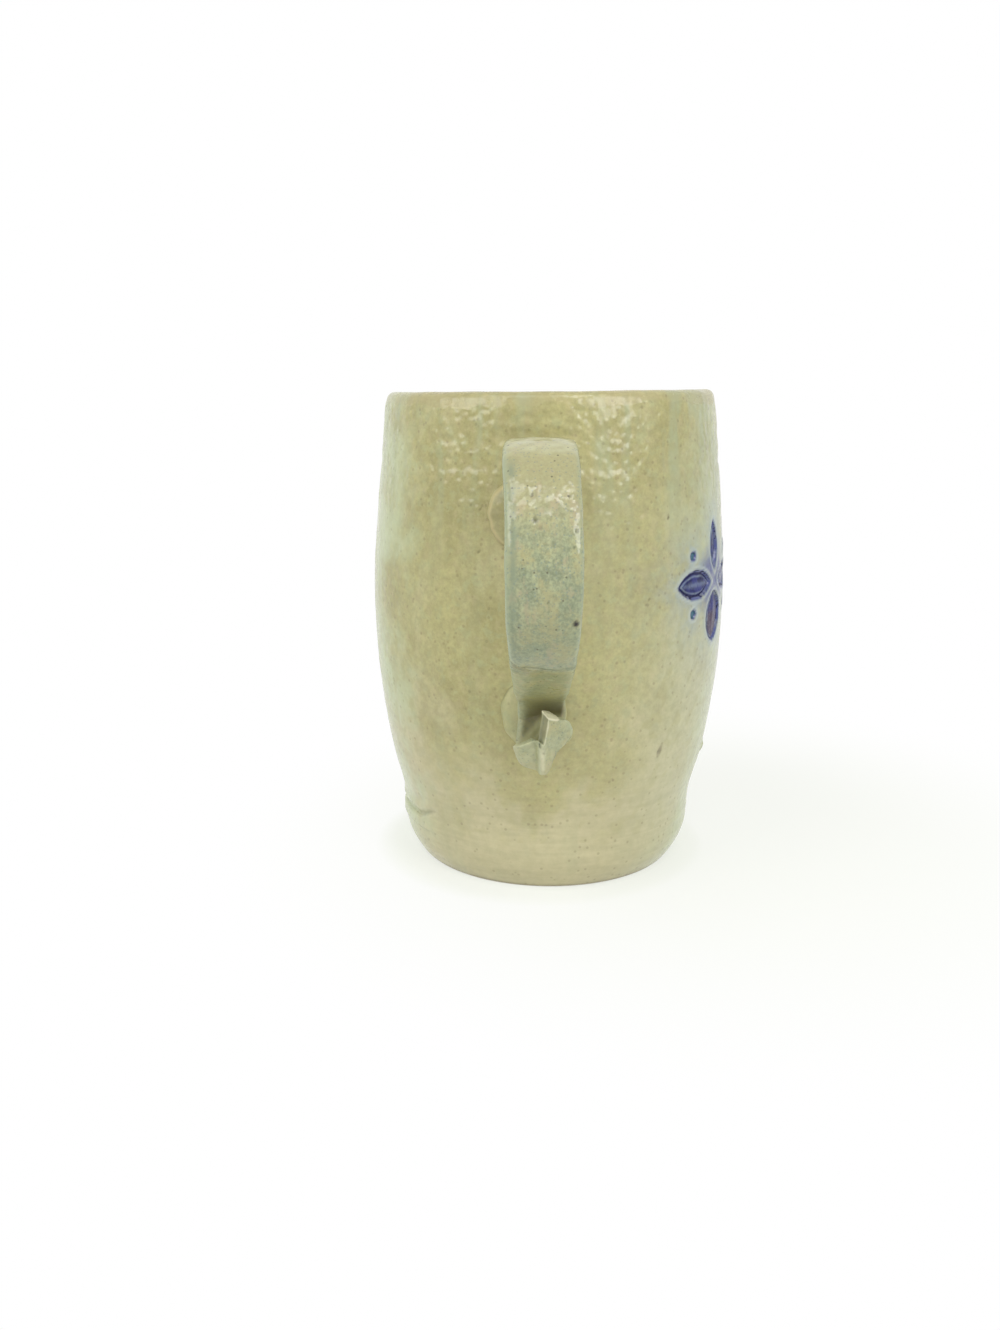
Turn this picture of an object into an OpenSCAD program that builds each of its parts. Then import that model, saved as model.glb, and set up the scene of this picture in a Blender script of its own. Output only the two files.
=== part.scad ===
// Salt-glazed stoneware pitcher: a thrown barrel with a low pouring lip, a band of clay round the foot,
// a pulled strap handle luted on over two pads of clay, and a cut flower filled with cobalt slip.
// Millimetres, +Z up. The origin is the centre of the base, on the barrel's axis.
// The handle stands on the -X side, the lip faces +X, and the flower is on the -Y side.

/* [Barrel] */
// Height of the rim above the table
height = 125; // [110:1:150]
// Outer diameter at the belly, the widest place
belly_d = 94; // [88:1:110]
// Height of the belly
belly_z = 70; // [64:1:76]
// Radius of the curve of the barrel's side, seen from the side
barrel_curve_r = 210; // [190:5:320]
// Height where that curve runs out into a straight wall
shoulder_z = 90; // [82:1:100]
// Wall thickness
wall_t = 4.5; // [3.5:0.25:6]
// Thickness of the floor
floor_t = 7; // [5:0.5:10]
// Radius of the round between the floor and the wall, inside
floor_round_r = 8; // [4:0.5:12]

/* [Foot band] */
// Height of the foot band
foot_h = 14; // [12:0.5:16]
// How far the band's upper edge stands proud of the wall
foot_proud = 0.4; // [0.3:0.1:1.5]
// Height below which the band draws in
foot_draw_h = 10.5; // [7:0.5:11]
// How far the band draws in from there down to the table
foot_taper = 4.8; // [3:0.1:6]
// Thickness of the band where it meets the table
foot_band_t = 2.5; // [1.5:0.25:4]

/* [Pouring lip] */
// How far the lip reaches past the rim
lip_reach = 9; // [5:0.5:14]
// How far below the rim the lip starts to swell
lip_depth = 26; // [18:1:34]
// How far the lip's edge lies below the rim
lip_dip = 1; // [0.5:0.25:3]
// Half angle of the cone that the lip is drawn from
lip_half_angle = 30; // [25:1:34]
// Thickness of the lip, drawn out thinner than the wall
lip_t = 3; // [2.5:0.25:4]

/* [Handle strap] */
// Width of the strap from its upper end to its furthest point
strap_w = 16; // [13:0.2:20]
// Width of the strap at its lower end
strap_low_w = 12; // [11:0.2:16]
// Thickness of the strap
strap_t = 6; // [4.5:0.25:8]
// Height of the upper joint on the wall
root_z = 99; // [94:0.5:103]
// Height of the strap's middle line at its crest
crest_z = 112; // [106:0.5:118]
// How far the crest stands off the wall
crest_out = 15; // [10:0.5:20]
// How far the strap's middle line stands off the belly at its furthest
reach = 33; // [27:0.5:42]
// Height of that furthest point
reach_z = 87; // [82:0.5:94]
// Height of the elbow, where the strap turns in to the wall
elbow_z = 69; // [65:0.5:73]
// How far the elbow stands off the wall
elbow_out = 23; // [18:0.5:28]
// Height of the lower joint on the wall
joint_z = 53.5; // [50:0.5:58]

/* [Joint pads] */
// How far a pad of clay stands proud of the wall
pad_h = 2.2; // [1.5:0.1:3]
// Radius of a pad's crown
pad_crown_r = 14.5; // [12:0.5:18]
// How far the upper pad lies to one side of the strap's middle
upper_pad_aside = 4; // [0:0.25:5]
// How far the lower pad lies to one side of the strap's middle
lower_pad_aside = 2.5; // [0:0.25:4]
// How far below the upper joint the upper pad's middle lies
upper_pad_drop = 2; // [0:0.5:5]
// How far below the lower joint the lower pad's middle lies
lower_pad_drop = 5; // [2:0.5:7]

/* [Tail curl] */
// Width of the strap's curled tail where it leaves the joint
curl_w = 12.5; // [10:0.5:15]
// Width of the tail round its bend
curl_bend_w = 8; // [6:0.5:12]
// Width of the tail at its cut end
curl_tip_w = 4.5; // [4:0.5:9]
// Thickness of the curled tail
curl_t = 3.6; // [3:0.2:5]
// Height of the ridge pinched along the tail's outer face
curl_ridge = 1.2; // [0.5:0.1:2.5]
// Distance between the middle lines of the tail's two legs
curl_gap = 8; // [7.5:0.25:10]
// Height of the curl's bend above the table, at its middle line
curl_low_z = 40; // [35:0.5:41]
// Height of the tail's cut end
curl_tip_z = 53; // [47:0.5:54]
// How far the tail's cut end is twisted about the upright
curl_twist = 34; // [0:1:36]
// How far the tail's cut end lies to one side of the strap's middle
curl_aside = 2.5; // [0:0.25:4]

/* [Cut flower] */
// Height of the flower's middle
flower_z = 78; // [74:0.5:82]
// Angle from the handle round to the flower's middle
flower_from_handle = 65; // [60:1:90]
// Length of the two side petals
side_petal_l = 15; // [12:0.5:18]
// Half width of a side petal
side_petal_hw = 3.6; // [2.5:0.1:4.2]
// Length of the upper petal
top_petal_l = 12.5; // [10:0.5:14]
// Half width of the upper petal
top_petal_hw = 2.6; // [1.8:0.1:3.2]
// Length of the lower petal
bottom_petal_l = 13; // [10:0.5:14]
// Half width of the lower petal
bottom_petal_hw = 5; // [3.5:0.1:5.6]
// Distance from the flower's middle to where each petal starts
petal_start = 2.6; // [2.2:0.1:4]
// Radius of the dots between the petals
dot_r = 1.1; // [0.7:0.1:1.6]
// Distance of the dots from the flower's middle
dot_out = 13.6; // [12.5:0.2:16]
// Angle of the dots above and below the side petals
dot_angle = 32; // [28:1:38]
// Depth of the cutting below the wall's face
cut_depth = 0.9; // [0.6:0.1:1.4]
// Thickness of the cobalt slip in the cutting
slip_t = 0.5; // [0.3:0.1:0.6]

/* [Hidden] */
$fn = 180;
// Steps along the wall and round an edge, in outlines
wall_steps = 24;
arc_steps = 6;
foot_steps = 8;
// Steps along each stretch of the strap or the tail, and points round their sections
sweep_steps = 11;
section_points = 20;
// How squarely a section is rounded: 2 is an ellipse, larger is squarer
strap_squareness = 3.4;
curl_squareness = 2.6;
// Half the spread of the tail's ridge, as an angle round its section
ridge_spread = 26;
// How roundly the foot draws in: 1 is a straight taper
foot_roundness = 1.8;
// How far swept ends run on into what they are cut by
bury = 4;
// Share of a quarter ellipse's side that a curve's handle takes
quarter = 0.5523;
// Angle at which the strap climbs away from the wall
root_climb = 48;
// Room past a face for a cutting shape
past = 1;

stoneware = [0.70, 0.68, 0.53];
handle_grey = [0.65, 0.69, 0.58];
cobalt = [0.13, 0.17, 0.45];

// The barrel's outline: a curve about barrel_middle_x up to the shoulder, then its tangent to the rim
barrel_middle_x = belly_d / 2 - barrel_curve_r;
function curve_r(z) = barrel_middle_x + sqrt(pow(barrel_curve_r, 2) - pow(z - belly_z, 2));
shoulder_r = curve_r(shoulder_z);
shoulder_lean = (shoulder_z - belly_z) / sqrt(pow(barrel_curve_r, 2) - pow(shoulder_z - belly_z, 2));
function wall_r(z) = z < shoulder_z ? curve_r(z) : shoulder_r - (z - shoulder_z) * shoulder_lean;
rim_round_r = wall_t / 2;
rim_z = height - rim_round_r;
floor_round_z = floor_t + floor_round_r;

// Points of half outlines, as [distance from the axis, height]
function wall_line(low_z, high_z, depth = 0) = [
    for (i = [0 : wall_steps])
        let (z = low_z + (high_z - low_z) * i / wall_steps)
            [wall_r(z) - depth, z]
];
function arc(middle, r, first, last) = [
    for (i = [0 : arc_steps])
        let (a = first + (last - first) * i / arc_steps)
            middle + r * [cos(a), sin(a)]
];
rim_middle = [wall_r(rim_z) - rim_round_r, rim_z];
floor_middle = [wall_r(floor_round_z) - wall_t - floor_round_r, floor_round_z];
foot_edge_r = wall_r(foot_h) + foot_proud;
foot_round_r = foot_proud * 0.7;
base_r = foot_edge_r - foot_taper;
seat_r = base_r - foot_band_t;
foot_line = [
    for (i = [0 : foot_steps])
        let (share = i / foot_steps)
            [foot_edge_r - foot_taper * pow(1 - share, foot_roundness), foot_draw_h * share]
];

// The whole barrel with no hollow, which everything on the wall is cut back to
module barrel_solid() {
    rotate_extrude()
        polygon(concat(
            [[0, 0], [seat_r, 0]],
            wall_line(foot_h, rim_z),
            arc(rim_middle, rim_round_r, 15, 90),
            [[0, height]]
        ));
}

// The inside of the barrel, with a rounded floor and the inner half of the rim, up past the rim
module cavity() {
    rotate_extrude()
        polygon(concat(
            [[0, floor_t]],
            arc(floor_middle, floor_round_r, -90, -15),
            wall_line(floor_round_z, rim_z, wall_t),
            arc(rim_middle, rim_round_r, 165, 90),
            [[rim_middle[0], height + past], [0, height + past]]
        ));
}

// The cone that the lip is drawn from, moved up its own axis for the inside of the lip
module lip_cone(inset = 0) {
    start_z = height - lip_depth;
    start_r = wall_r(start_z) - past;
    outer_lean = atan((wall_r(height) + lip_reach - start_r) / lip_depth);
    length = 2 * lip_depth;
    translate([start_r, 0, start_z])
        rotate([0, outer_lean - lip_half_angle, 0])
            translate([0, 0, inset / sin(lip_half_angle)])
                cylinder(h = length, r1 = 0, r2 = length * tan(lip_half_angle));
}

// Everything below the lip's edge
module under_lip_edge() {
    translate([0, -belly_d / 2, 0]) cube([belly_d, belly_d, height - lip_dip]);
}

module body() {
    color(stoneware)
        difference() {
            union() {
                barrel_solid();
                intersection() {
                    lip_cone();
                    under_lip_edge();
                }
            }
            cavity();
            lip_cone(lip_t);
            intersection() {
                flower_prism() flower_outline();
                cutting_shell(-past, cut_depth);
            }
        }
}

// The foot band swells from the table up to a softened edge, and seats on the barrel's tapered lower end
module foot_band() {
    color(stoneware)
        rotate_extrude()
            polygon(concat(
                [[seat_r, 0]],
                foot_line,
                arc([foot_edge_r - foot_round_r, foot_h - foot_round_r], foot_round_r, 0, 90),
                [[wall_r(foot_h), foot_h]]
            ));
}

// A pad of clay on the wall: the crown of a ball set into the wall, a little to one side of the strap
module pad_ball(z, aside) {
    turn = aside / wall_r(z) * 180 / PI;
    rotate([0, 0, 180 - turn])
        translate([wall_r(z) + pad_h - pad_crown_r, 0, z])
            sphere(r = pad_crown_r);
}

module upper_pad_ball() {
    pad_ball(root_z - upper_pad_drop, upper_pad_aside);
}

module lower_pad_ball() {
    pad_ball(joint_z - lower_pad_drop, lower_pad_aside);
}

module upper_joint_pad() {
    color(stoneware)
        difference() {
            upper_pad_ball();
            barrel_solid();
        }
}

module lower_joint_pad() {
    color(stoneware)
        difference() {
            lower_pad_ball();
            barrel_solid();
        }
}

// Curves in the handle's upright plane, as [distance from the axis, height]
function bezier(p, t) =
    pow(1 - t, 3) * p[0] + 3 * pow(1 - t, 2) * t * p[1] + 3 * (1 - t) * t * t * p[2] + pow(t, 3) * p[3];
function chain(stretches) = [
    for (i = [0 : len(stretches) - 1], s = [(i == 0 ? 0 : 1) : sweep_steps])
        bezier(stretches[i], s / sweep_steps)
];
function unit(v) = v / norm(v);
function tangent(path, i) = unit(path[min(i + 1, len(path) - 1)] - path[max(i - 1, 0)]);

// A rounded section of the given width and thickness, with a ridge on its far face
function signed_pow(x, e) = sign(x) * pow(abs(x), e);
function off_ridge(a) = (a - 270) / ridge_spread;
function section(w, t, squareness, ridge) = [
    for (i = [0 : section_points - 1])
        let (a = 360 * i / section_points)
            [
                w / 2 * signed_pow(cos(a), 2 / squareness),
                t / 2 * signed_pow(sin(a), 2 / squareness) - ridge * exp(-pow(off_ridge(a), 2))
            ]
];

// One closed solid swept along a path in the upright plane of the handle. Each of its points has a width,
// and the sections are turned about the upright and moved aside by their share of twist and aside.
module sweep(path, widths, thickness, squareness, ridge = 0, twist = 0, aside = 0, shares = []) {
    last = len(path) - 1;
    n = section_points;
    points = [
        for (i = [0 : last])
            let (
                along = tangent(path, i),
                outward = [-along[1], along[0]],
                share = len(shares) > 0 ? shares[i] : 0,
                turn = twist * share
            )
                for (p = section(widths[i], thickness, squareness, ridge))
                    let (x = -outward[0] * p[1], y = p[0])
                        [
                            -path[i][0] + x * cos(turn) - y * sin(turn),
                            x * sin(turn) + y * cos(turn) - aside * share,
                            path[i][1] + outward[1] * p[1]
                        ]
    ];
    sides = [
        for (i = [0 : last - 1], j = [0 : n - 1])
            let (a = i * n + j, b = i * n + (j + 1) % n)
                each [[a, b, b + n], [a, b + n, a + n]]
    ];
    first_end = [for (j = [n - 1 : -1 : 0]) j];
    last_end = [for (j = [0 : n - 1]) last * n + j];
    polyhedron(points, concat(sides, [first_end, last_end]), convexity = 6);
}

// The strap's middle line: up from the upper joint, over the crest, out, down to the elbow and in to the wall
strap_root = [wall_r(root_z) - bury, root_z - bury * tan(root_climb)];
strap_crest = [wall_r(crest_z) + crest_out, crest_z];
strap_far = [belly_d / 2 + reach, reach_z];
strap_elbow = [wall_r(elbow_z) + elbow_out, elbow_z];
strap_joint = [wall_r(joint_z), joint_z];
strap_in = unit(strap_joint - strap_elbow);
strap_end = strap_joint + strap_in * bury;
crest_run = strap_far[0] - strap_crest[0];
crest_fall = strap_crest[1] - strap_far[1];
elbow_fall = strap_far[1] - strap_elbow[1];
elbow_to_joint = norm(strap_joint - strap_elbow);
root_run = norm(strap_crest - strap_root) / 3;
strap_path = chain([
    [
        strap_root,
        strap_root + root_run * [cos(root_climb), sin(root_climb)],
        strap_crest - [root_run, 0],
        strap_crest
    ],
    [
        strap_crest,
        strap_crest + [quarter * crest_run, 0],
        strap_far + [0, quarter * crest_fall],
        strap_far
    ],
    [
        strap_far,
        strap_far - [0, quarter * elbow_fall],
        strap_elbow - strap_in * quarter * elbow_fall / 2,
        strap_elbow
    ],
    [
        strap_elbow,
        strap_elbow + strap_in * elbow_to_joint / 3,
        strap_joint - strap_in * elbow_to_joint / 3,
        strap_end
    ]
]);

// The strap keeps its width down to its furthest point, and narrows over its lower half
strap_last = len(strap_path) - 1;
lower_half = [for (i = [0 : strap_last]) max(0, 2 * i / strap_last - 1)];
strap_widths = [for (share = lower_half) strap_w + (strap_low_w - strap_w) * share];

module strap_sweep() {
    sweep(strap_path, strap_widths, strap_t, strap_squareness);
}

module handle_strap() {
    color(handle_grey)
        difference() {
            strap_sweep();
            barrel_solid();
            upper_pad_ball();
            lower_pad_ball();
        }
}

// The tail's middle line: down the wall from the lower joint, round the bend and up to its cut end
curl_bend_r = curl_gap / 2;
curl_bend_z = curl_low_z + curl_bend_r;
curl_wall_x = wall_r(joint_z - lower_pad_drop) + curl_t / 2 + pad_h / 2;
curl_out_x = curl_wall_x + curl_gap;
curl_bottom = [curl_wall_x + curl_bend_r, curl_low_z];
curl_pull = quarter * curl_bend_r;
curl_path = chain([
    [
        [curl_wall_x, joint_z],
        [curl_wall_x, joint_z - (joint_z - curl_bend_z) / 3],
        [curl_wall_x, curl_bend_z + (joint_z - curl_bend_z) / 3],
        [curl_wall_x, curl_bend_z]
    ],
    [
        [curl_wall_x, curl_bend_z],
        [curl_wall_x, curl_bend_z - curl_pull],
        curl_bottom - [curl_pull, 0],
        curl_bottom
    ],
    [
        curl_bottom,
        curl_bottom + [curl_pull, 0],
        [curl_out_x, curl_bend_z - curl_pull],
        [curl_out_x, curl_bend_z]
    ],
    [
        [curl_out_x, curl_bend_z],
        [curl_out_x, curl_bend_z + (curl_tip_z - curl_bend_z) / 3],
        [curl_out_x, curl_tip_z - (curl_tip_z - curl_bend_z) / 3],
        [curl_out_x, curl_tip_z]
    ]
]);

// The tail narrows into its bend, and narrows on and twists over its upturned half
curl_last = len(curl_path) - 1;
turned_up = [for (i = [0 : curl_last]) max(0, 2 * i / curl_last - 1)];
curl_widths = [
    for (i = [0 : curl_last])
        lookup(i / curl_last, [[0, curl_w], [0.25, curl_w], [0.5, curl_bend_w], [0.75, curl_bend_w], [1, curl_tip_w]])
];

module handle_tail_curl() {
    color(handle_grey)
        difference() {
            sweep(
                curl_path, curl_widths, curl_t, curl_squareness,
                curl_ridge, curl_twist, curl_aside, turned_up
            );
            barrel_solid();
            lower_pad_ball();
            strap_sweep();
        }
}

// A petal from petal_start out to its pointed tip, between two arcs
module petal(angle, length, half_w) {
    arc_r = (pow(length / 2, 2) + pow(half_w, 2)) / (2 * half_w);
    rotate(angle)
        translate([petal_start + length / 2, 0])
            intersection_for(side = [-1, 1])
                translate([0, side * (arc_r - half_w)]) circle(r = arc_r);
}

module left_petal_outline() {
    petal(180, side_petal_l, side_petal_hw);
}

module right_petal_outline() {
    petal(0, side_petal_l, side_petal_hw);
}

module top_petal_outline() {
    petal(90, top_petal_l, top_petal_hw);
}

module bottom_petal_outline() {
    petal(-90, bottom_petal_l, bottom_petal_hw);
}

module dots_outline() {
    for (side = [0, 180], way = [-1, 1])
        rotate(side + way * dot_angle) translate([dot_out, 0]) circle(r = dot_r);
}

module flower_outline() {
    left_petal_outline();
    right_petal_outline();
    top_petal_outline();
    bottom_petal_outline();
    dots_outline();
}

// An outline drawn as seen from outside, pushed straight in at the flower's place
module flower_prism() {
    translate([0, 0, flower_z])
        rotate([90, 0, 90 + 180 + flower_from_handle])
            linear_extrude(height = belly_d) children();
}

// The skin of the barrel between two depths below its face, round the flower's height
module cutting_shell(near, deep) {
    flower_half_h = petal_start + max(top_petal_l, bottom_petal_l) + past;
    low_z = flower_z - flower_half_h;
    high_z = flower_z + flower_half_h;
    outer = wall_line(low_z, high_z, near);
    inner = wall_line(low_z, high_z, deep);
    rotate_extrude()
        polygon(concat(inner, [for (i = [wall_steps : -1 : 0]) outer[i]]));
}

// Cobalt slip lying at the bottom of the cutting
module cobalt_slip() {
    color(cobalt)
        intersection() {
            flower_prism() children();
            cutting_shell(cut_depth - slip_t, cut_depth);
        }
}

module cobalt_left_petal() { cobalt_slip() left_petal_outline(); }
module cobalt_right_petal() { cobalt_slip() right_petal_outline(); }
module cobalt_top_petal() { cobalt_slip() top_petal_outline(); }
module cobalt_bottom_petal() { cobalt_slip() bottom_petal_outline(); }
module cobalt_dots() { cobalt_slip() dots_outline(); }

body();
foot_band();
upper_joint_pad();
lower_joint_pad();
handle_strap();
handle_tail_curl();
cobalt_left_petal();
cobalt_right_petal();
cobalt_top_petal();
cobalt_bottom_petal();
cobalt_dots();
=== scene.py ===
import math
from functools import reduce
from itertools import product

import bpy
import numpy as np
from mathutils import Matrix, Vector


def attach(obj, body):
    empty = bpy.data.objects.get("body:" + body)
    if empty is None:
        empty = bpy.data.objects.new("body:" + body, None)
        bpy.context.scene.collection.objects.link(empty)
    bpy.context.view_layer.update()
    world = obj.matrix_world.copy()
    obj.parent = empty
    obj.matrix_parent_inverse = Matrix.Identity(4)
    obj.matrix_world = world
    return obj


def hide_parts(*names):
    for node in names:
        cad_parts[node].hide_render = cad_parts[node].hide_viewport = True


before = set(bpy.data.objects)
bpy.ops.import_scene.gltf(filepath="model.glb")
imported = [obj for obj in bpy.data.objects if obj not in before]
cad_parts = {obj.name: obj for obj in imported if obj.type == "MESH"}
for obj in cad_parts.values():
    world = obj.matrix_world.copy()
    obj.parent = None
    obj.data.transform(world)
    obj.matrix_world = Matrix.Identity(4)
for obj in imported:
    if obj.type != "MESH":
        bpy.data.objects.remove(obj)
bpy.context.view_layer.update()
scene = bpy.context.scene
mm = 0.001  # shapes below are worked out in millimetres
midDome = 0.6  # pebbles of this height neither raise nor sink the skin
quarterPull = 0.5523  # reach of a curve's handles for a quarter turn
print("frame loaded,", len(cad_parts), "nodes")


# soft steps and lumps on arrays
def ease(low, high, x):
    t = np.clip((x - low) / (high - low), 0, 1)
    return t * t * (3 - 2 * t)


def hump(x, middle, spread):
    return np.exp(-((x - middle) / spread) ** 2)


def most(*layers):  # the strongest of several masks, point by point
    return reduce(np.maximum, layers)


def wrapAngle(a):
    return (a + math.pi) % (2 * math.pi) - math.pi


def cosSin(degrees):
    return math.cos(math.radians(degrees)), math.sin(math.radians(degrees))


hashing = {"cellSteps": (374761393, 668265263, 1440670441), "seedStep": 974711, "stir": 1274126177}


def hashed(cell, seed):  # a steady number from 0 to 1 for each whole-number cell
    full, half = 0xffffffff, 0xffff
    n = np.sum(cell * np.array(hashing["cellSteps"]), axis=-1) + seed * hashing["seedStep"]
    n = n & full
    n = ((n ^ (n >> 13)) * hashing["stir"]) & full
    return ((n ^ (n >> 16)) & half) / half


def cloud(points, size, seed):  # soft lumps about size across, from -1 to 1
    q = points / size + 100
    cell = np.floor(q).astype(np.int64)
    f = q - cell
    f = f * f * (3 - 2 * f)
    total = 0
    for corner in product((0, 1), repeat=3):
        share = np.prod(np.abs(1 - np.array(corner) - f), axis=-1)
        total = total + share * hashed(cell + corner, seed)
    return total * 2 - 1


def mottle(points, size, seed, middle, swing):  # a patchy share, from 0 to 1
    return np.clip(middle + swing * cloud(points, size, seed), 0, 1)


def pebbles(points, size, seed):  # rounded pebbles packed together, about 1 at the top of a tall one
    q = points / size + 100
    cell = np.floor(q).astype(np.int64)
    best = np.zeros(q.shape[:-1])
    for step in product((-1, 0, 1), repeat=3):
        other = cell + step
        middle = other + np.stack([hashed(other, seed + k) for k in range(3)], -1)
        tall = 0.6 + 0.4 * hashed(other, seed + 3)
        best = np.maximum(best, tall - 1.25 * np.sum((middle - q) ** 2, axis=-1))
    return best


# meshes from rows of points, each row a closed ring, with the ends closed to a hub where one is given
def gridObject(name, rows, material, masks, startHub=None, endHub=None, ringClosed=False):
    rowCount, columnCount = rows.shape[:2]
    order = list(range(rowCount)) + ([0] if ringClosed else [])
    lines = rows[order]
    run = np.linalg.norm(np.diff(lines, axis=0), axis=-1).mean(1)
    v = np.concatenate([[0], np.cumsum(run)])
    v = 0.02 + 0.96 * v / v[-1]
    u = np.arange(columnCount + 1) / columnCount
    index = np.arange(rowCount * columnCount).reshape(rowCount, columnCount)[order]
    nextIndex = np.roll(index, -1, axis=1)
    quads = np.stack([index[:-1], nextIndex[:-1], nextIndex[1:], index[1:]], -1).reshape(-1, 4)
    u0, v0 = np.meshgrid(u[:-1], v[:-1])
    u1, v1 = np.meshgrid(u[1:], v[1:])
    uvQuads = np.stack([u0, v0, u1, v0, u1, v1, u0, v1], -1).reshape(-1, 4, 2)
    points = [rows.reshape(-1, 3)]
    tris, uvTris = [], []
    uMiddle = (u[:-1] + u[1:]) / 2
    level = np.ones(columnCount)
    count = rowCount * columnCount
    for hub, line, way, edgeV, hubV in ((startHub, 0, -1, v[0], 0.0), (endHub, -1, 1, v[-1], 1.0)):
        if hub is None:
            continue
        points.append(np.array(hub, float).reshape(1, 3))
        corners = [(index[line], u[:-1]), (nextIndex[line], u[1:])][::way]
        tris.append(np.stack([corners[0][0], corners[1][0], np.full(columnCount, count)], -1))
        uvTris.append(np.stack([corners[0][1], edgeV * level, corners[1][1], edgeV * level,
                                uMiddle, hubV * level], -1).reshape(-1, 3, 2))
        count += 1
    a, b, c, d = (points[0][quads[:, k]] for k in range(4))
    inner = np.einsum("ij,ij->i", a, np.cross(b, c)) + np.einsum("ij,ij->i", a, np.cross(c, d))
    if inner.sum() < 0:  # turned inside out, so every face goes the other way round
        quads, uvQuads = quads[:, ::-1], uvQuads[:, ::-1]
        tris, uvTris = [t[:, ::-1] for t in tris], [t[:, ::-1] for t in uvTris]
    faces = quads.tolist() + [f for t in tris for f in t.tolist()]
    mesh = bpy.data.meshes.new(name)
    mesh.from_pydata((np.concatenate(points) * mm).tolist(), [], faces)
    uvLayer = mesh.uv_layers.new(name="OFBake")
    uvs = np.concatenate([uvQuads.reshape(-1, 2)] + [t.reshape(-1, 2) for t in uvTris])
    uvLayer.data.foreach_set("uv", uvs.astype(np.float32).ravel())
    for maskName, values in masks.items():
        values = np.broadcast_to(values, (rowCount, columnCount))
        hubs = [values[line].mean() for hub, line in ((startHub, 0), (endHub, -1)) if hub is not None]
        full = np.concatenate([values.ravel(), hubs]).astype(np.float32)
        mesh.attributes.new(maskName, "FLOAT", "POINT").data.foreach_set("value", full)
    mesh.shade_smooth()
    mesh.materials.append(material)
    piece = bpy.data.objects.new(name, mesh)
    scene.collection.objects.link(piece)
    return piece


def cappedObject(name, rows, material, masks):  # both ends closed at their middles
    return gridObject(name, rows, material, masks, startHub=rows[0].mean(0), endHub=rows[-1].mean(0))


def outwardNormals(rows):
    along = np.gradient(rows, axis=0)
    around = np.roll(rows, -1, 1) - np.roll(rows, 1, 1)
    n = np.cross(around, along)
    n = n / np.maximum(np.linalg.norm(n, axis=-1, keepdims=True), 1e-9)
    facing = np.einsum("ijk,ijk->ij", n, rows - rows.mean(1, keepdims=True)).mean()
    return n * np.sign(facing)


def place(piece, slotName, *nodeNames):
    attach(piece, "root")
    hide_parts(*nodeNames)


# shader nodes
def feed(tree, node, inputs):  # sockets are linked, plain values are set
    for key, value in inputs.items():
        if isinstance(value, bpy.types.NodeSocket):
            tree.links.new(value, node.inputs[key])
        else:
            node.inputs[key].default_value = value
    return node


def addNode(tree, kind, inputs=None, **settings):
    node = tree.nodes.new("ShaderNode" + kind)
    for key, value in settings.items():
        setattr(node, key, value)
    return feed(tree, node, inputs or {})


def calc(tree, operation, a, b=0.0, clamp=False):
    return addNode(tree, "Math", {0: a, 1: b}, operation=operation, use_clamp=clamp).outputs[0]


def times(tree, *values):
    return reduce(lambda a, b: calc(tree, "MULTIPLY", a, b), values)


def strongest(tree, *values):
    return reduce(lambda a, b: calc(tree, "MAXIMUM", a, b), values)


def mixColour(tree, factor, a, b):
    return addNode(tree, "Mix", {0: factor, 6: a, 7: b}, data_type="RGBA").outputs[2]


def shaded(tree, tone, value):  # the tone made lighter or darker
    return addNode(tree, "HueSaturation", {"Color": tone, "Value": value}).outputs["Color"]


def ramp(tree, value, low, high, toLow=0.0, toHigh=1.0):
    sockets = {"Value": value, "From Min": low, "From Max": high, "To Min": toLow, "To Max": toHigh}
    return addNode(tree, "MapRange", sockets, interpolation_type="SMOOTHSTEP").outputs[0]


def noise(tree, vector, scale, detail=3.0, rough=0.55):
    sockets = {"Vector": vector, "Scale": scale, "Detail": detail, "Roughness": rough}
    return addNode(tree, "TexNoise", sockets).outputs["Fac"]


def colour(r, g, b):
    return (r, g, b, 1.0)


def mask(tree, name):
    return addNode(tree, "Attribute", attribute_name=name).outputs["Fac"]


def stretched(tree, vector, scale):
    return addNode(tree, "Mapping", {"Vector": vector, "Scale": scale}).outputs["Vector"]


def objectSpot(tree):
    return addNode(tree, "TexCoord").outputs["Object"]


def newGroup(name, inputs, outputs):
    tree = bpy.data.node_groups.new(name, "ShaderNodeTree")
    for way, sockets in (("INPUT", inputs), ("OUTPUT", outputs)):
        for socketName, kind in sockets.items():
            tree.interface.new_socket(socketName, in_out=way, socket_type="NodeSocket" + kind)
    return tree, tree.nodes.new("NodeGroupInput").outputs, tree.nodes.new("NodeGroupOutput").inputs


def useGroup(tree, group, inputs):
    node = tree.nodes.new("ShaderNodeGroup")
    node.node_tree = group
    return feed(tree, node, inputs).outputs


def clearedTree(owner):  # the empty node tree of a material or a world
    owner.use_nodes = True
    owner.node_tree.nodes.clear()
    return owner.node_tree


def newMaterial(name):
    material = bpy.data.materials.new(name)
    tree = clearedTree(material)
    shader = addNode(tree, "BsdfPrincipled")
    addNode(tree, "OutputMaterial", {"Surface": shader.outputs[0]})
    return material, tree, shader, objectSpot(tree)


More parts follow.
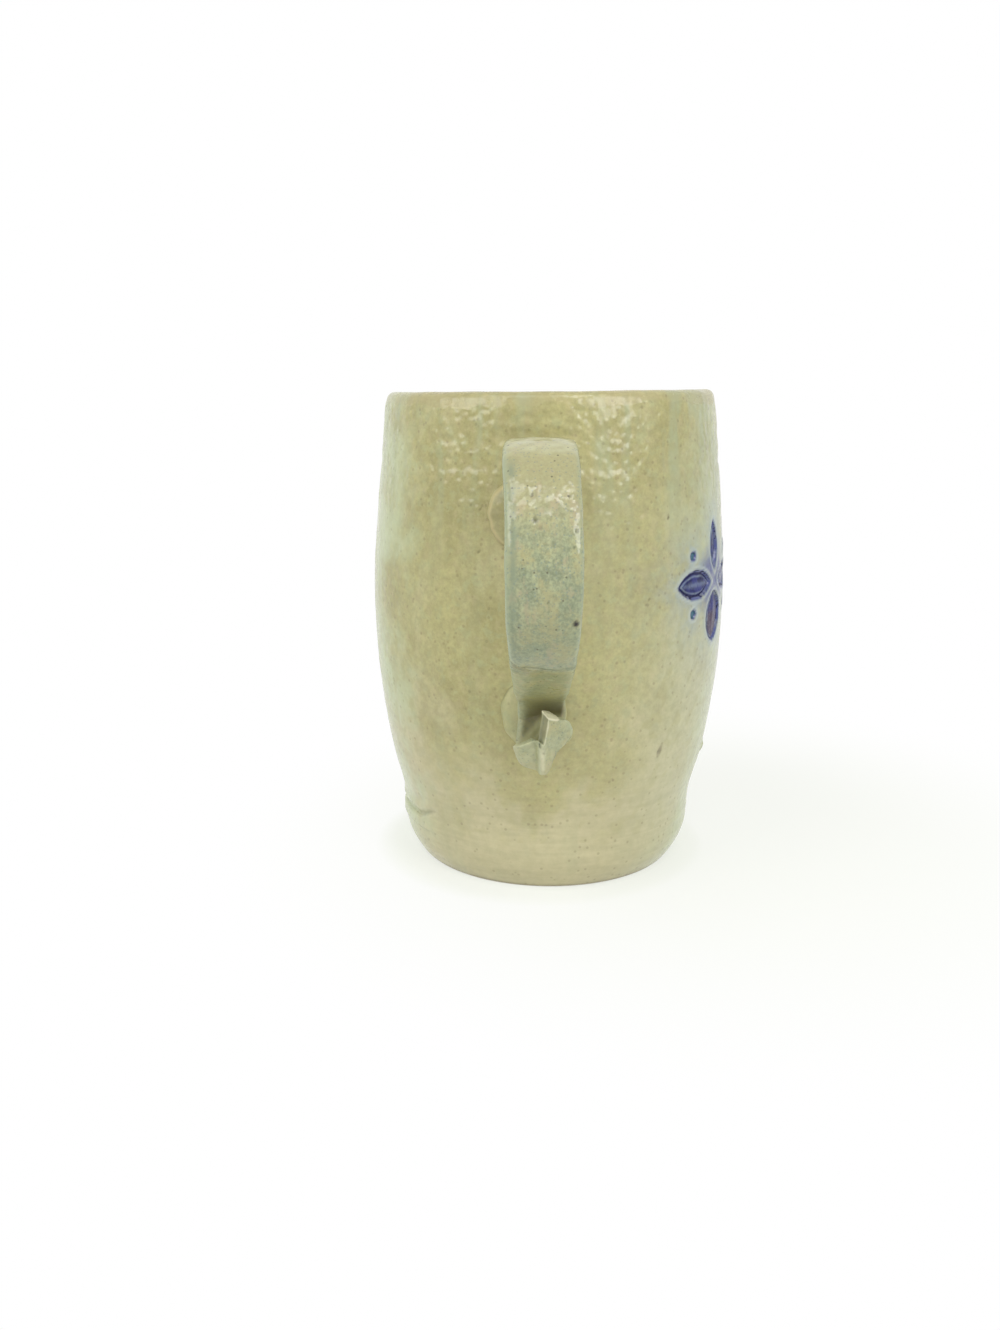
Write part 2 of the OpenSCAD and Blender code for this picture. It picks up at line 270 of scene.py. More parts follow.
# the glaze runs thick and thin, so its colour drifts between three tones
def makeGlazeTone():
    inputs = {"Deep": "Color", "Middle": "Color", "Pale": "Color"}
    inputs |= {"Patches per Metre": "Float", "Grain": "Float"}
    tree, given, result = newGroup("glazeTone", inputs, {"Color": "Color"})
    spot = objectSpot(tree)
    patches = given["Patches per Metre"]
    broad = noise(tree, spot, patches, 4.0)
    runs = noise(tree, stretched(tree, spot, (1, 1, 0.4)), times(tree, patches, 2.6))
    grain = ramp(tree, noise(tree, spot, 1300.0, 3.0, 0.65), 0.3, 0.7, -1.0, 1.0)
    grain = times(tree, grain, given["Grain"])
    tone = mixColour(tree, ramp(tree, broad, 0.36, 0.6), given["Deep"], given["Middle"])
    tone = mixColour(tree, ramp(tree, runs, 0.48, 0.76, 0.0, 0.6), tone, given["Pale"])
    tone = shaded(tree, tone, calc(tree, "ADD", grain, 1.0))
    tree.links.new(tone, result["Color"])
    return tree


# iron in the clay burns through as small dark specks
def makeIronSpecks():
    inputs = {"Specks per Metre": "Float", "Share": "Float", "Size": "Float"}
    tree, given, result = newGroup("ironSpecks", inputs, {"Mask": "Float"})
    sockets = {"Vector": objectSpot(tree), "Scale": given["Specks per Metre"]}
    cells = addNode(tree, "TexVoronoi", sockets).outputs
    drawn = addNode(tree, "SeparateColor", {"Color": cells["Color"]}).outputs["Red"]
    chosen = calc(tree, "LESS_THAN", drawn, given["Share"])
    inside = ramp(tree, cells["Distance"], times(tree, given["Size"], 0.45), given["Size"], 1.0, 0.0)
    tree.links.new(times(tree, inside, chosen), result["Mask"])
    return tree


# the salt skin: fine rounded pebbles with a little grit between them
def makeSaltSkin():
    tree, given, result = newGroup("saltSkin", {"Pebbles per Metre": "Float"}, {"Height": "Float"})
    spot = objectSpot(tree)
    sockets = {"Vector": spot, "Scale": given["Pebbles per Metre"], "Smoothness": 0.7}
    beads = addNode(tree, "TexVoronoi", sockets, feature="SMOOTH_F1").outputs["Distance"]
    grit = noise(tree, spot, times(tree, given["Pebbles per Metre"], 2.3), 3.0, 0.6)
    domes = ramp(tree, beads, 0.0, 0.75, 1.0, 0.0)
    tree.links.new(calc(tree, "ADD", domes, times(tree, grit, 0.25)), result["Height"])
    return tree


glazeTone = makeGlazeTone()
ironSpecks = makeIronSpecks()
saltSkin = makeSaltSkin()


# what every glaze starts and ends with, from its own dictionary
def baseTone(tree, glaze):
    sockets = {"Deep": glaze["deep"], "Middle": glaze["middle"], "Pale": glaze["pale"]}
    sockets |= {"Patches per Metre": glaze["patches"], "Grain": glaze["grain"]}
    return useGroup(tree, glazeTone, sockets)["Color"]


def masked(tree, tone, glaze, *names):  # lays on the colours whose masks have the same names
    for name in names:
        tone = mixColour(tree, mask(tree, name), tone, glaze[name])
    return tone


def specked(tree, tone, glaze):
    for toneName, perMetre, share, size, strength in glaze["specks"]:
        sockets = {"Specks per Metre": perMetre, "Share": share, "Size": size}
        spots = useGroup(tree, ironSpecks, sockets)["Mask"]
        tone = mixColour(tree, times(tree, spots, strength), tone, glaze[toneName])
    return tone


def pebbled(tree, glaze):
    return useGroup(tree, saltSkin, {"Pebbles per Metre": glaze["pebbles"]})["Height"]


def finishGlaze(tree, shader, glaze, tone, shine, height):
    sockets = {"Height": height, "Strength": glaze["bump"], "Distance": glaze["bumpDepth"]}
    normal = addNode(tree, "Bump", sockets).outputs["Normal"]
    feed(tree, shader, {"Base Color": tone, "Roughness": shine, "Normal": normal})


# khaki salt glaze of the barrel, foot and pads
barrelGlaze = {
    "deep": colour(0.352, 0.325, 0.138), "middle": colour(0.410, 0.382, 0.170),
    "pale": colour(0.462, 0.436, 0.232), "patches": 42.0, "grain": 0.06,
    "warm": colour(0.452, 0.386, 0.200), "cool": colour(0.375, 0.396, 0.205), "mottle": 330.0,
    "footTone": colour(0.510, 0.470, 0.286), "paleTone": colour(0.486, 0.480, 0.300),
    # the flank colour is painted light on the barrel's flanks, and the milky green of the lower pad
    "milkAndFlankLight": colour(0.505, 0.570, 0.350), "greenRun": colour(0.350, 0.385, 0.225),
    "rim": colour(0.400, 0.342, 0.176), "haze": colour(0.270, 0.345, 0.370),
    "wash": colour(0.050, 0.065, 0.220), "burr": colour(0.440, 0.490, 0.460),
    # the mark colour below paints real dark marks, and also painted shade in creases and along the foot's
    # bottom edge
    "speck": colour(0.130, 0.100, 0.055), "markAndShade": colour(0.095, 0.072, 0.032),
    # the pad-edge colour on the next line is a painted highlight along the pads' left bevels
    "bare": colour(0.520, 0.450, 0.340), "padEdgeHighlight": colour(0.520, 0.445, 0.225),
    # colour, specks per metre, share that shows, size, how strong
    "specks": (("speck", 620.0, 0.24, 0.32, 0.26), ("speck", 420.0, 0.18, 0.22, 0.27),
               ("speck", 150.0, 0.05, 0.075, 0.34)),
    "shine": (0.14, 0.26), "dulling": 0.5, "pebbles": 540.0, "bump": 0.5, "bumpDepth": 0.0003,
}


def makeBarrelGlaze(glaze):
    material, tree, shader, where = newMaterial("barrelGlaze")
    sides = addNode(tree, "SeparateXYZ", {0: where}).outputs
    z = sides["Z"]
    tone = baseTone(tree, glaze)
    flecks = noise(tree, where, glaze["mottle"], 4.0, 0.6)
    tone = mixColour(tree, ramp(tree, flecks, 0.5, 0.66, 0.0, 0.36), tone, glaze["warm"])
    tone = mixColour(tree, ramp(tree, flecks, 0.48, 0.34, 0.0, 0.4), tone, glaze["cool"])

    # paler towards the foot, though less so under the tail, and paler low down on the flower's side
    drifting = calc(tree, "ADD", z, ramp(tree, noise(tree, where, 55.0), 0.3, 0.7, 0.012, -0.012))
    underTail = times(tree, ramp(tree, calc(tree, "ABSOLUTE", sides["Y"]), 0.027, 0.010),
                      ramp(tree, drifting, 0.014, 0.034), ramp(tree, sides["X"], -0.012, -0.030))
    footShare = times(tree, ramp(tree, drifting, 0.060, 0.012, 0.0, 0.9),
                      ramp(tree, underTail, 0.0, 1.0, 1.0, 0.4))
    tone = mixColour(tree, footShare, tone, glaze["footTone"])
    paleSide = times(tree, ramp(tree, sides["Y"], -0.012, -0.036, 0.0, 0.7), ramp(tree, drifting, 0.09, 0.05))
    tone = mixColour(tree, paleSide, tone, glaze["paleTone"])

    # leathery above, and smoother towards the foot, where the strokes of throwing show
    above = ramp(tree, z, 0.015, 0.055)
    leather = ramp(tree, noise(tree, where, 460.0, 5.0, 0.7), 0.32, 0.68, -0.09, 0.09)
    leather = times(tree, leather, ramp(tree, above, 0.0, 1.0, 0.45, 1.0))
    strokes = noise(tree, stretched(tree, where, (0.12, 0.12, 1)), 620.0)
    strokes = ramp(tree, strokes, 0.35, 0.65, -0.04, 0.04)
    strokes = times(tree, strokes, ramp(tree, above, 0.0, 1.0, 1.0, 0.0))
    tone = shaded(tree, tone, calc(tree, "ADD", calc(tree, "ADD", leather, strokes), 1.0))

    # lighter and greener on both flanks: painted light from the bright surroundings, and milky green where a
    # pad carries it; green also runs down from the rim
    flatSpot = stretched(tree, where, (1, 1, 0))
    across = addNode(tree, "VectorMath", {0: flatSpot}, operation="LENGTH").outputs["Value"]
    sideways = calc(tree, "DIVIDE", sides["Y"], across)
    sideways = calc(tree, "ADD", sideways, ramp(tree, noise(tree, where, 48.0, 4.0), 0.3, 0.7, -0.13, 0.13))
    milkAndFlankLight = strongest(tree, ramp(tree, sideways, 0.69, 0.98, 0.0, 0.8),
                      ramp(tree, sideways, -0.66, -1.0, 0.0, 0.55), mask(tree, "milk"))
    tone = mixColour(tree, milkAndFlankLight, tone, glaze["milkAndFlankLight"])
    runs = ramp(tree, noise(tree, stretched(tree, where, (1, 1, 0.12)), 150.0), 0.5, 0.68)
    runs = times(tree, runs, ramp(tree, z, 0.085, 0.124, 0.15, 0.75))
    tone = mixColour(tree, runs, tone, glaze["greenRun"])

    # painted shade between the pebbles, tan on the rim, blue about the cutting
    pebbleShade = times(tree, ramp(tree, mask(tree, "dome"), 0.4, 0.1, 0.0, 0.25),
                   ramp(tree, above, 0.0, 1.0, 0.5, 1.0))
    tone = mixColour(tree, pebbleShade, tone, glaze["deep"])
    roll = mask(tree, "roll")
    tone = mixColour(tree, times(tree, roll, 0.55), tone, glaze["rim"])
    drift = noise(tree, where, 210.0, 4.0, 0.65)
    haze = times(tree, mask(tree, "haze"), ramp(tree, drift, 0.3, 0.65, 0.35, 1.0))
    tone = mixColour(tree, haze, tone, glaze["haze"])
    wash = times(tree, mask(tree, "wash"), ramp(tree, drift, 0.3, 0.6, 0.6, 1.0))
    tone = mixColour(tree, wash, tone, glaze["wash"])
    tone = masked(tree, tone, glaze, "burr")
    tone = specked(tree, tone, glaze)
    tone = masked(tree, tone, glaze, "markAndShade", "padEdgeHighlight", "bare")

    shine = ramp(tree, noise(tree, where, 260.0), 0.3, 0.7, *glaze["shine"])
    dull = strongest(tree, mask(tree, "bare"), mask(tree, "dull"), times(tree, roll, 0.1))
    shine = calc(tree, "ADD", shine, times(tree, dull, glaze["dulling"]), clamp=True)
    height = times(tree, pebbled(tree, glaze), ramp(tree, z, 0.088, 0.108, 0.5, 1.0),
                   ramp(tree, roll, 0.0, 1.0, 1.0, 0.4))
    finishGlaze(tree, shader, glaze, tone, shine, height)
    return material


# grey-green and tan glaze of the strap and its tail
handleGlaze = {
    "deep": colour(0.258, 0.292, 0.175), "middle": colour(0.318, 0.336, 0.186),
    "pale": colour(0.385, 0.388, 0.218), "patches": 190.0, "grain": 0.22,
    "tan": colour(0.405, 0.362, 0.172), "pink": colour(0.410, 0.352, 0.210),
    "slate": colour(0.222, 0.262, 0.170), "edge": colour(0.335, 0.390, 0.245),
    # crest is partly painted light on the handle's top and shaded sides; olive and the near-black pool are
    # painted shade on the strap's down-facing low end, in the hollow and on the tail's turned side
    "crest": colour(0.500, 0.500, 0.300), "olive": colour(0.335, 0.328, 0.128),
    "poolAndShade": colour(0.072, 0.060, 0.018), "cream": colour(0.690, 0.660, 0.460),
    "blueSpeck": colour(0.170, 0.220, 0.200), "speck": colour(0.100, 0.090, 0.060),
    "markAndShade": colour(0.020, 0.017, 0.013),
    # colour, specks per metre, share that shows, size, how strong
    "specks": (("blueSpeck", 1500.0, 0.4, 0.4, 0.45), ("speck", 640.0, 0.3, 0.2, 0.75)),
    "shine": (0.08, 0.20), "dulling": 0.3, "pebbles": 700.0, "bump": 0.36, "bumpDepth": 0.0002,
}


def makeHandleGlaze(glaze):
    material, tree, shader, where = newMaterial("handleGlaze")
    tone = baseTone(tree, glaze)
    tan = ramp(tree, noise(tree, where, 190.0, 5.0, 0.65), 0.48, 0.66, 0.0, 0.75)
    z = addNode(tree, "SeparateXYZ", {0: where}).outputs["Z"]
    tan = strongest(tree, tan, ramp(tree, z, 0.092, 0.109, 0.0, 0.65))  # more of it towards the top
    tone = mixColour(tree, tan, tone, glaze["tan"])
    pinkSpot = stretched(tree, where, (1.0, 1.3, 0.8))
    pink = ramp(tree, noise(tree, pinkSpot, 260.0, 4.0, 0.6), 0.55, 0.68, 0.0, 0.65)
    tone = mixColour(tree, pink, tone, glaze["pink"])
    tone = masked(tree, tone, glaze, "slate")
    for name, strength in (("edge", 0.75), ("crest", 0.7), ("olive", 0.7)):
        tone = mixColour(tree, times(tree, mask(tree, name), strength), tone, glaze[name])
    tone = specked(tree, tone, glaze)
    tone = masked(tree, tone, glaze, "poolAndShade", "cream", "markAndShade")
    shine = ramp(tree, noise(tree, where, 300.0), 0.3, 0.7, *glaze["shine"])
    shine = calc(tree, "ADD", shine, times(tree, mask(tree, "dull"), glaze["dulling"]))
    finishGlaze(tree, shader, glaze, tone, shine, pebbled(tree, glaze))
    return material


# cobalt slip: near black where it pools along the cut, milky blue on the raised middle
cobaltGlaze = {
    "deep": colour(0.008, 0.009, 0.060), "middle": colour(0.026, 0.032, 0.165),
    "pale": colour(0.026, 0.032, 0.165), "patches": 300.0, "grain": 0.08,
    "rib": colour(0.300, 0.370, 0.430), "poolAndShade": colour(0.075, 0.050, 0.080),
    "teal": colour(0.070, 0.160, 0.200),
    # colour, specks per metre, share that shows, size, how strong
    "specks": (("deep", 600.0, 0.15, 0.2, 0.4),),
    "shine": (0.2, 0.34), "specular": 0.14, "pebbles": 800.0, "bump": 0.22, "bumpDepth": 0.00015,
}


def makeCobaltGlaze(glaze):
    material, tree, shader, where = newMaterial("cobaltGlaze")
    drift = noise(tree, where, 420.0, 4.0, 0.65)
    rib = times(tree, mask(tree, "rib"), ramp(tree, drift, 0.3, 0.6, 0.55, 1.0))
    tone = masked(tree, baseTone(tree, glaze), glaze, "poolAndShade", "teal")
    tone = mixColour(tree, rib, tone, glaze["rib"])
    tone = mixColour(tree, mask(tree, "groove"), tone, glaze["deep"])
    tone = specked(tree, tone, glaze)
    shine = ramp(tree, drift, 0.3, 0.7, *glaze["shine"])
    shader.inputs["Specular IOR Level"].default_value = glaze["specular"]
    finishGlaze(tree, shader, glaze, tone, shine, pebbled(tree, glaze))
    return material


stonewareFinish = makeBarrelGlaze(barrelGlaze)
handleFinish = makeHandleGlaze(handleGlaze)
cobaltFinish = makeCobaltGlaze(cobaltGlaze)
print("glazes made")


# the cut flower, drawn on the wall: s runs to the right as seen from outside, t runs up
flower = {
    "height": 78.0, "fromHandle": math.radians(65), "start": 2.6,
    # degrees round from the right, length, half the width
    "petals": {"left": (180, 15.0, 3.6), "right": (0, 15.0, 3.6),
               "top": (90, 12.5, 2.6), "bottom": (-90, 13.0, 5.0)},
    "dotRadius": 1.1, "dotOut": 13.6, "dotAngle": 32, "cut": 1.15, "burrHeight": 0.24,
    "haze": ((0.5, 0.4, 2.2), (0.42, 0.0, 9.0)),  # how strong, mm from the cut where it starts, mm of fading
    "wash": 0.9, "washEnds": (4.5, 12.0),
}


def arcRadius(length, halfWidth):
    return (length ** 2 / 4 + halfWidth ** 2) / (2 * halfWidth)


def petalDistance(s, t, angle, length, halfWidth):
    cosine, sine = cosSin(angle)
    along = s * cosine + t * sine - flower["start"] - length / 2
    across = t * cosine - s * sine
    bow = arcRadius(length, halfWidth)
    return np.hypot(along, np.abs(across) + bow - halfWidth) - bow


def dotPlaces():
    turns = [side + way * flower["dotAngle"] for side in (0, 180) for way in (-1, 1)]
    return [(flower["dotOut"] * cosine, flower["dotOut"] * sine) for cosine, sine in map(cosSin, turns)]


def flowerDistance(s, t):
    gaps = [petalDistance(s, t, *petal) for petal in flower["petals"].values()]
    gaps += [np.hypot(s - ds, t - dt) - flower["dotRadius"] for ds, dt in dotPlaces()]
    return np.min(gaps, axis=0)


# the barrel's wall, as angle round from the handle and height
barrel = {
    "height": 125.0, "bellyRadius": 47.0, "bellyHeight": 70.0, "sideCurve": 210.0, "shoulderHeight": 90.0,
    "wall": 4.5, "floor": 7.0, "floorRound": 8.0, "seatRadius": 32.5, "footHeight": 14.0, "baseHollow": 0.25,
    "inset": 0.13, "insetEnds": (86, 104), "wobble": 0.12, "ringDepth": 0.05,
    "waistHeight": 20.0, "waistDent": 0.42, "waistRun": 6.5,
    "ledges": ((106.3, 0.17), (111.2, 0.08), (114.0, 0.05)),  # height, depth
    "peelSize": 3.0, "peelHeight": 0.24, "peelLow": 0.32,
    "rimTilt": 0.7, "rimEase": 0.12, "rimRise": 1.6, "rimRipple": 0.12,
    "band": 1.8, "bandLean": 0.12, "scallop": 1.7, "scallopSize": 6.0,
    "lipReach": 8.7, "lipSpread": 0.27, "lipDrop": 27.0, "lipDip": 1.0, "lipPinch": 0.9,
    "columns": 450, "smoothColumns": 8, "innerRows": 24, "rimRows": 15,
    "outerRows": ((13.4, 22, 13), (22.8, 60, 36), (60.55, 94, 56)),  # from, to, how many
}
wallMarks = [  # degrees from the handle, height, radius, how dark, how deep
    (40.6, 36.7, 1.0, 0.6, 0.25), (39.2, 95.4, 0.4, 0.9, 0.1), (-20.2, 97.8, 0.3, 0.6, 0.1),
    (-20.1, 87.9, 0.35, 0.6, 0.1), (31.5, 76.2, 0.3, 0.5, 0.05), (118.0, 60.0, 0.7, 0.8, 0.2),
    (-131.0, 84.0, 0.6, 0.8, 0.1), (165.0, 41.0, 0.8, 0.8, 0.2), (-96.0, 38.0, 0.5, 0.7, 0.1),
]
fold = {  # clay lapped over at the foot
    "from": math.radians(-92), "to": math.radians(-45), "climbFrom": math.radians(-58),
    "height": 14.4, "climb": 2.7, "deep": 0.9, "over": 0.35,
}
nib = {"angle": math.radians(82), "height": 29.8, "proud": 0.7, "radius": 1.0}  # a crumb of clay on the wall


def wallRadius(z):
    low = np.minimum(z, barrel["shoulderHeight"])
    rise = low - barrel["bellyHeight"]
    root = np.sqrt(barrel["sideCurve"] ** 2 - rise ** 2)
    return barrel["bellyRadius"] - barrel["sideCurve"] + root - (z - low) * rise / root


def onWall(angle, z, r):
    angle, z, r = np.broadcast_arrays(angle, z, r)
    return np.stack([-r * np.cos(angle), -r * np.sin(angle), z], -1)


def keepInWall(points, deep):  # nothing reaches further in than this far behind the wall's face
    flat = np.hypot(points[..., 0], points[..., 1])
    grow = np.maximum((wallRadius(points[..., 2]) - deep) / flat, 1)
    points[..., :2] *= grow[..., None]


def foldLine(angle):
    return fold["height"] + fold["climb"] * ease(fold["climbFrom"], fold["to"], angle)


def foldShare(angle):
    begun = ease(fold["from"], fold["from"] + 0.25, angle)
    return begun * (1 - ease(fold["to"] - 0.1, fold["to"] + 0.06, angle))


def skin(angle, z):  # outer radius with throwing marks and pebbled glaze, and the pebbles as a mask
    b = barrel
    p = onWall(angle, z, wallRadius(z))
    waist = b["waistHeight"]
    above = np.maximum(z, waist)
    below = np.clip((waist - z) / b["waistRun"], 0, 1)  # the slope eases to upright towards the foot
    waistSlope = wallRadius(waist + 0.5) - wallRadius(waist - 0.5)
    r = wallRadius(above) - waistSlope * b["waistRun"] * (below - below ** 2 / 2)
    r = r - b["inset"] * (1 - ease(*b["insetEnds"], z)) - b["waistDent"] * hump(above, waist, 5.5)
    r = r - b["rimEase"] * np.clip((z - b["height"] + 6.4) / 4, 0, 1.2) ** 2
    r = r + b["wobble"] * (cloud(p, 26.0, 1) + 0.45 * cloud(p, 9.0, 2))
    r = r + b["ringDepth"] * cloud(p * (0.05, 0.05, 1.0), 2.6, 3) * (0.4 + ease(84, 106, z))
    there = 0.75 + 0.5 * cloud(p, 30.0, 9)
    for height, deep in b["ledges"]:  # left by the thrower's fingers
        r = r - deep * there * (ease(height - 0.7, height + 0.7, z) - ease(height + 0.7, height + 4.5, z))
    dome = pebbles(p, b["peelSize"], 4)
    share = (b["peelLow"] + (1 - b["peelLow"]) * ease(90, 108, z)) * (0.8 + 0.45 * cloud(p, 15.0, 8))
    share = share * (1 - 0.6 * hump(z, b["ledges"][0][0], 0.9))
    r = r + b["peelHeight"] * (dome - midDome) * share
    lift = z - foldLine(angle)
    r = r + foldShare(angle) * (fold["over"] * hump(lift, 1.7, 1.2) - fold["deep"] * hump(lift, 0.1, 0.45))
    away = np.hypot((angle - nib["angle"]) * r, (z - nib["height"]) * 0.7)
    r = r + nib["proud"] * hump(away, 0, nib["radius"])
    return np.minimum(r, b["bellyRadius"] - 0.05), dome


def wallDarkening(angle, z, r):
    dark, pit = np.zeros(np.shape(r)), np.zeros(np.shape(r))
    for degrees, height, radius, strength, depth in wallMarks:
        side = wrapAngle(angle - math.radians(degrees)) * r
        away = np.hypot(side - 0.25 * (z - height), 0.75 * (z - height)) / radius
        dark = np.maximum(dark, strength * (1 - ease(0.6, 1.15, away)))
        pit = pit + depth * hump(away, 0, 0.8)
    return dark, pit


def columnAngles():  # the columns stand closer about the handle and the flower
    fine = np.linspace(-math.pi, math.pi, 6001)
    density = 1 + 0.35 * hump(fine, 0.25, 1.5) + 0.55 * hump(fine, flower["fromHandle"], 0.36)
    share = np.concatenate([[0], np.cumsum((density[1:] + density[:-1]) / 2)])
    return np.interp(np.arange(barrel["columns"]) / barrel["columns"], share / share[-1], fine)[None, :]


def throwRows(angle):  # from the middle of the base out, up over the rim and down inside to the floor
    b = barrel
    level = 0 * angle
    rows = []

    def addRow(r, z, zone, dome=midDome, roll=0.0):
        rows.append((r + level, z + level, dome + level, roll + level, zone))

    for r in np.linspace(1.5, b["seatRadius"] - 0.9, 8):
        addRow(r, 0.25 + b["baseHollow"] * (1 - (r / b["seatRadius"]) ** 2), "bare")
    for out, z in ((-0.3, 0.02), (0.3, 0.7), (3.0, 6.3)):  # the seat of the foot band
        addRow(b["seatRadius"] + out, z, "bare")

    rimZ = b["height"] - b["rimRise"] - b["rimRipple"]
    spans = [*b["outerRows"], (94.6, rimZ - 4, 40), (rimZ - 3.7, rimZ, 13)]
    outZ = np.concatenate([np.linspace(*span) for span in spans])
    ring = onWall(angle, 0.0, wallRadius(rimZ))
    bandZ = rimZ - b["band"] - b["scallop"] * (pebbles(ring, b["scallopSize"], 10) - midDome)
    tint = 0.7 + 0.4 * cloud(ring, 9.0, 10)
    wallR, wallDome = skin(angle, outZ[:, None])
    shifts = range(-b["smoothColumns"], b["smoothColumns"] + 1)
    smoothR = np.mean([np.roll(wallR, k, 1) for k in shifts], axis=0)
    for r, smooth, z, dome in zip(wallR, smoothR, outZ, wallDome):  # a smooth band of glaze under the rim
        clear = ease(-0.3, 0.3, z - bandZ)
        smooth = smooth - b["bandLean"] * np.maximum(z - bandZ, 0)
        addRow(r + (smooth - r) * clear, z, "out", dome + (midDome - dome) * clear, tint * clear)

    rimRound = b["wall"] / 2
    topR = smoothR[-1] - b["bandLean"] * np.maximum(rimZ - bandZ, 0)
    lean = (smoothR[-5] - smoothR[-1]) / (outZ[-1] - outZ[-5]) + b["bandLean"]
    for degrees in np.linspace(11, 169, b["rimRows"]):
        across, up = cosSin(degrees)
        rimR = topR - lean * b["rimRise"] * up * (1 - up) * (across > 0)
        addRow(rimR - rimRound + rimRound * across, rimZ + b["rimRise"] * up, "rim", roll=tint)

    cornerZ = b["floor"] + b["floorRound"]
    cornerR = wallRadius(cornerZ) - b["wall"] - b["floorRound"]
    for z in np.linspace(rimZ - 1.2, cornerZ, b["innerRows"]):
        innerR = wallRadius(z) - b["wall"]
        p = onWall(angle, z, innerR)
        rings = 0.16 * math.sin(z * 0.95) + 0.1 * cloud(p * (0.08, 0.08, 1), 5.0, 11)
        addRow(innerR + rings * ease(0, 14, rimZ - z), z, "in", roll=ease(rimZ - 4, rimZ, z))
    for degrees in np.linspace(-12, -90, 6):
        across, up = cosSin(degrees)
        addRow(cornerR + b["floorRound"] * across, cornerZ + b["floorRound"] * up, "in")
    for r in np.linspace(0.94, 0.05, 7) * cornerR:
        addRow(r, b["floor"] + 0.25 * math.sin(r * 0.9), "in")

    r, z, dome, roll = (np.concatenate([row[k] for row in rows]) for k in range(4))
    return r, z, dome, roll, np.array([row[4] for row in rows])[:, None]


def makeBody():
    b = barrel
    angle = columnAngles()
    r, z, dome, roll, zone = throwRows(angle)
    onWallFace = zone == "out"
    outside = onWallFace | (zone == "rim")
    aloft = outside | (zone == "in")

    # cutting of the flower, with the clay turned up along its edges
    turnAway = wrapAngle(angle - flower["fromHandle"])
    onSide = np.cos(turnAway) > 0.3
    s = r * np.sin(turnAway)
    t = z - flower["height"]
    farAway = 60.0
    gap = np.where(onSide & onWallFace, flowerDistance(s, t), farAway)
    p = onWall(angle, z, r)
    burr = hump(gap, 0.75, 0.4) * (0.75 + 0.35 * cloud(p, 3.0, 12))
    r = r + flower["burrHeight"] * burr - flower["cut"] * ease(0.05, 0.65, -gap)
    r = np.minimum(r, b["bellyRadius"] - 0.04)
    haze = sum(top * np.exp(-np.maximum(gap - start, 0) / fade) for top, start, fade in flower["haze"])
    wash = flower["wash"] * (1 - ease(*flower["washEnds"], np.hypot(s, t))) * ease(0.3, 1.0, gap) * onSide
    wash = np.maximum(wash, 1 - ease(0.05, 0.4, gap))
    dark, pit = wallDarkening(angle, z, r)
    # painted shade along the fold's crease
    dark = np.maximum(dark, 0.2 * foldShare(angle) * hump(z - foldLine(angle), 0.1, 0.45))
    r = r - np.where(onWallFace, pit, 0)

    # lip pulled out opposite the handle, and the rim a little lower on one side
    off = wrapAngle(angle - math.pi)
    share = ease(b["height"] - b["lipDrop"], b["height"] + 4, z) ** 1.25 / 0.93
    pull = b["lipReach"] * hump(off, 0, b["lipSpread"]) - b["lipPinch"] * hump(np.abs(off), 0.62, 0.2)
    r = r + np.where(aloft, share * pull, 0)
    nearRim = ease(b["height"] - 30, b["height"], z)
    z = z - np.where(aloft, nearRim * b["lipDip"] * hump(off, 0, 0.36), 0)
    z = z - np.where(aloft, nearRim * b["rimTilt"] * (0.5 - 0.5 * np.sin(angle)), 0)
    z = np.where(outside, z + nearRim * b["rimRipple"] * cloud(p, 7.0, 13), z)
    z = np.minimum(z, b["height"] - 0.02)

    masks = {"haze": np.clip(haze, 0, 1), "wash": wash, "burr": 0.65 * np.clip(burr, 0, 1), "markAndShade": dark}
    masks = {name: np.where(outside, values, 0) for name, values in masks.items()}
    masks |= {"dome": dome, "roll": roll, "bare": (zone == "bare") * 1.0}
    return gridObject("body", onWall(angle, z, r), stonewareFinish, masks,
                      startHub=(0, 0, 2 * b["baseHollow"]), endHub=(0, 0, b["floor"]))


place(makeBody(), "salt_glaze", "body")
print("barrel thrown, flower cut")


# band of clay round the foot, smoothed into the wall above it
footBand = {
    "baseRadius": 35.0, "edgeRadius": 39.5, "drawHeight": 10.8, "roundness": 1.85, "top": 15.2,
    "innerDraw": 1.1, "lap": 0.45, "peelSize": 3.6, "peelHeight": 0.06, "columns": 400,
    "drawRows": 22, "wallRows": 12, "innerRows": 6,
}


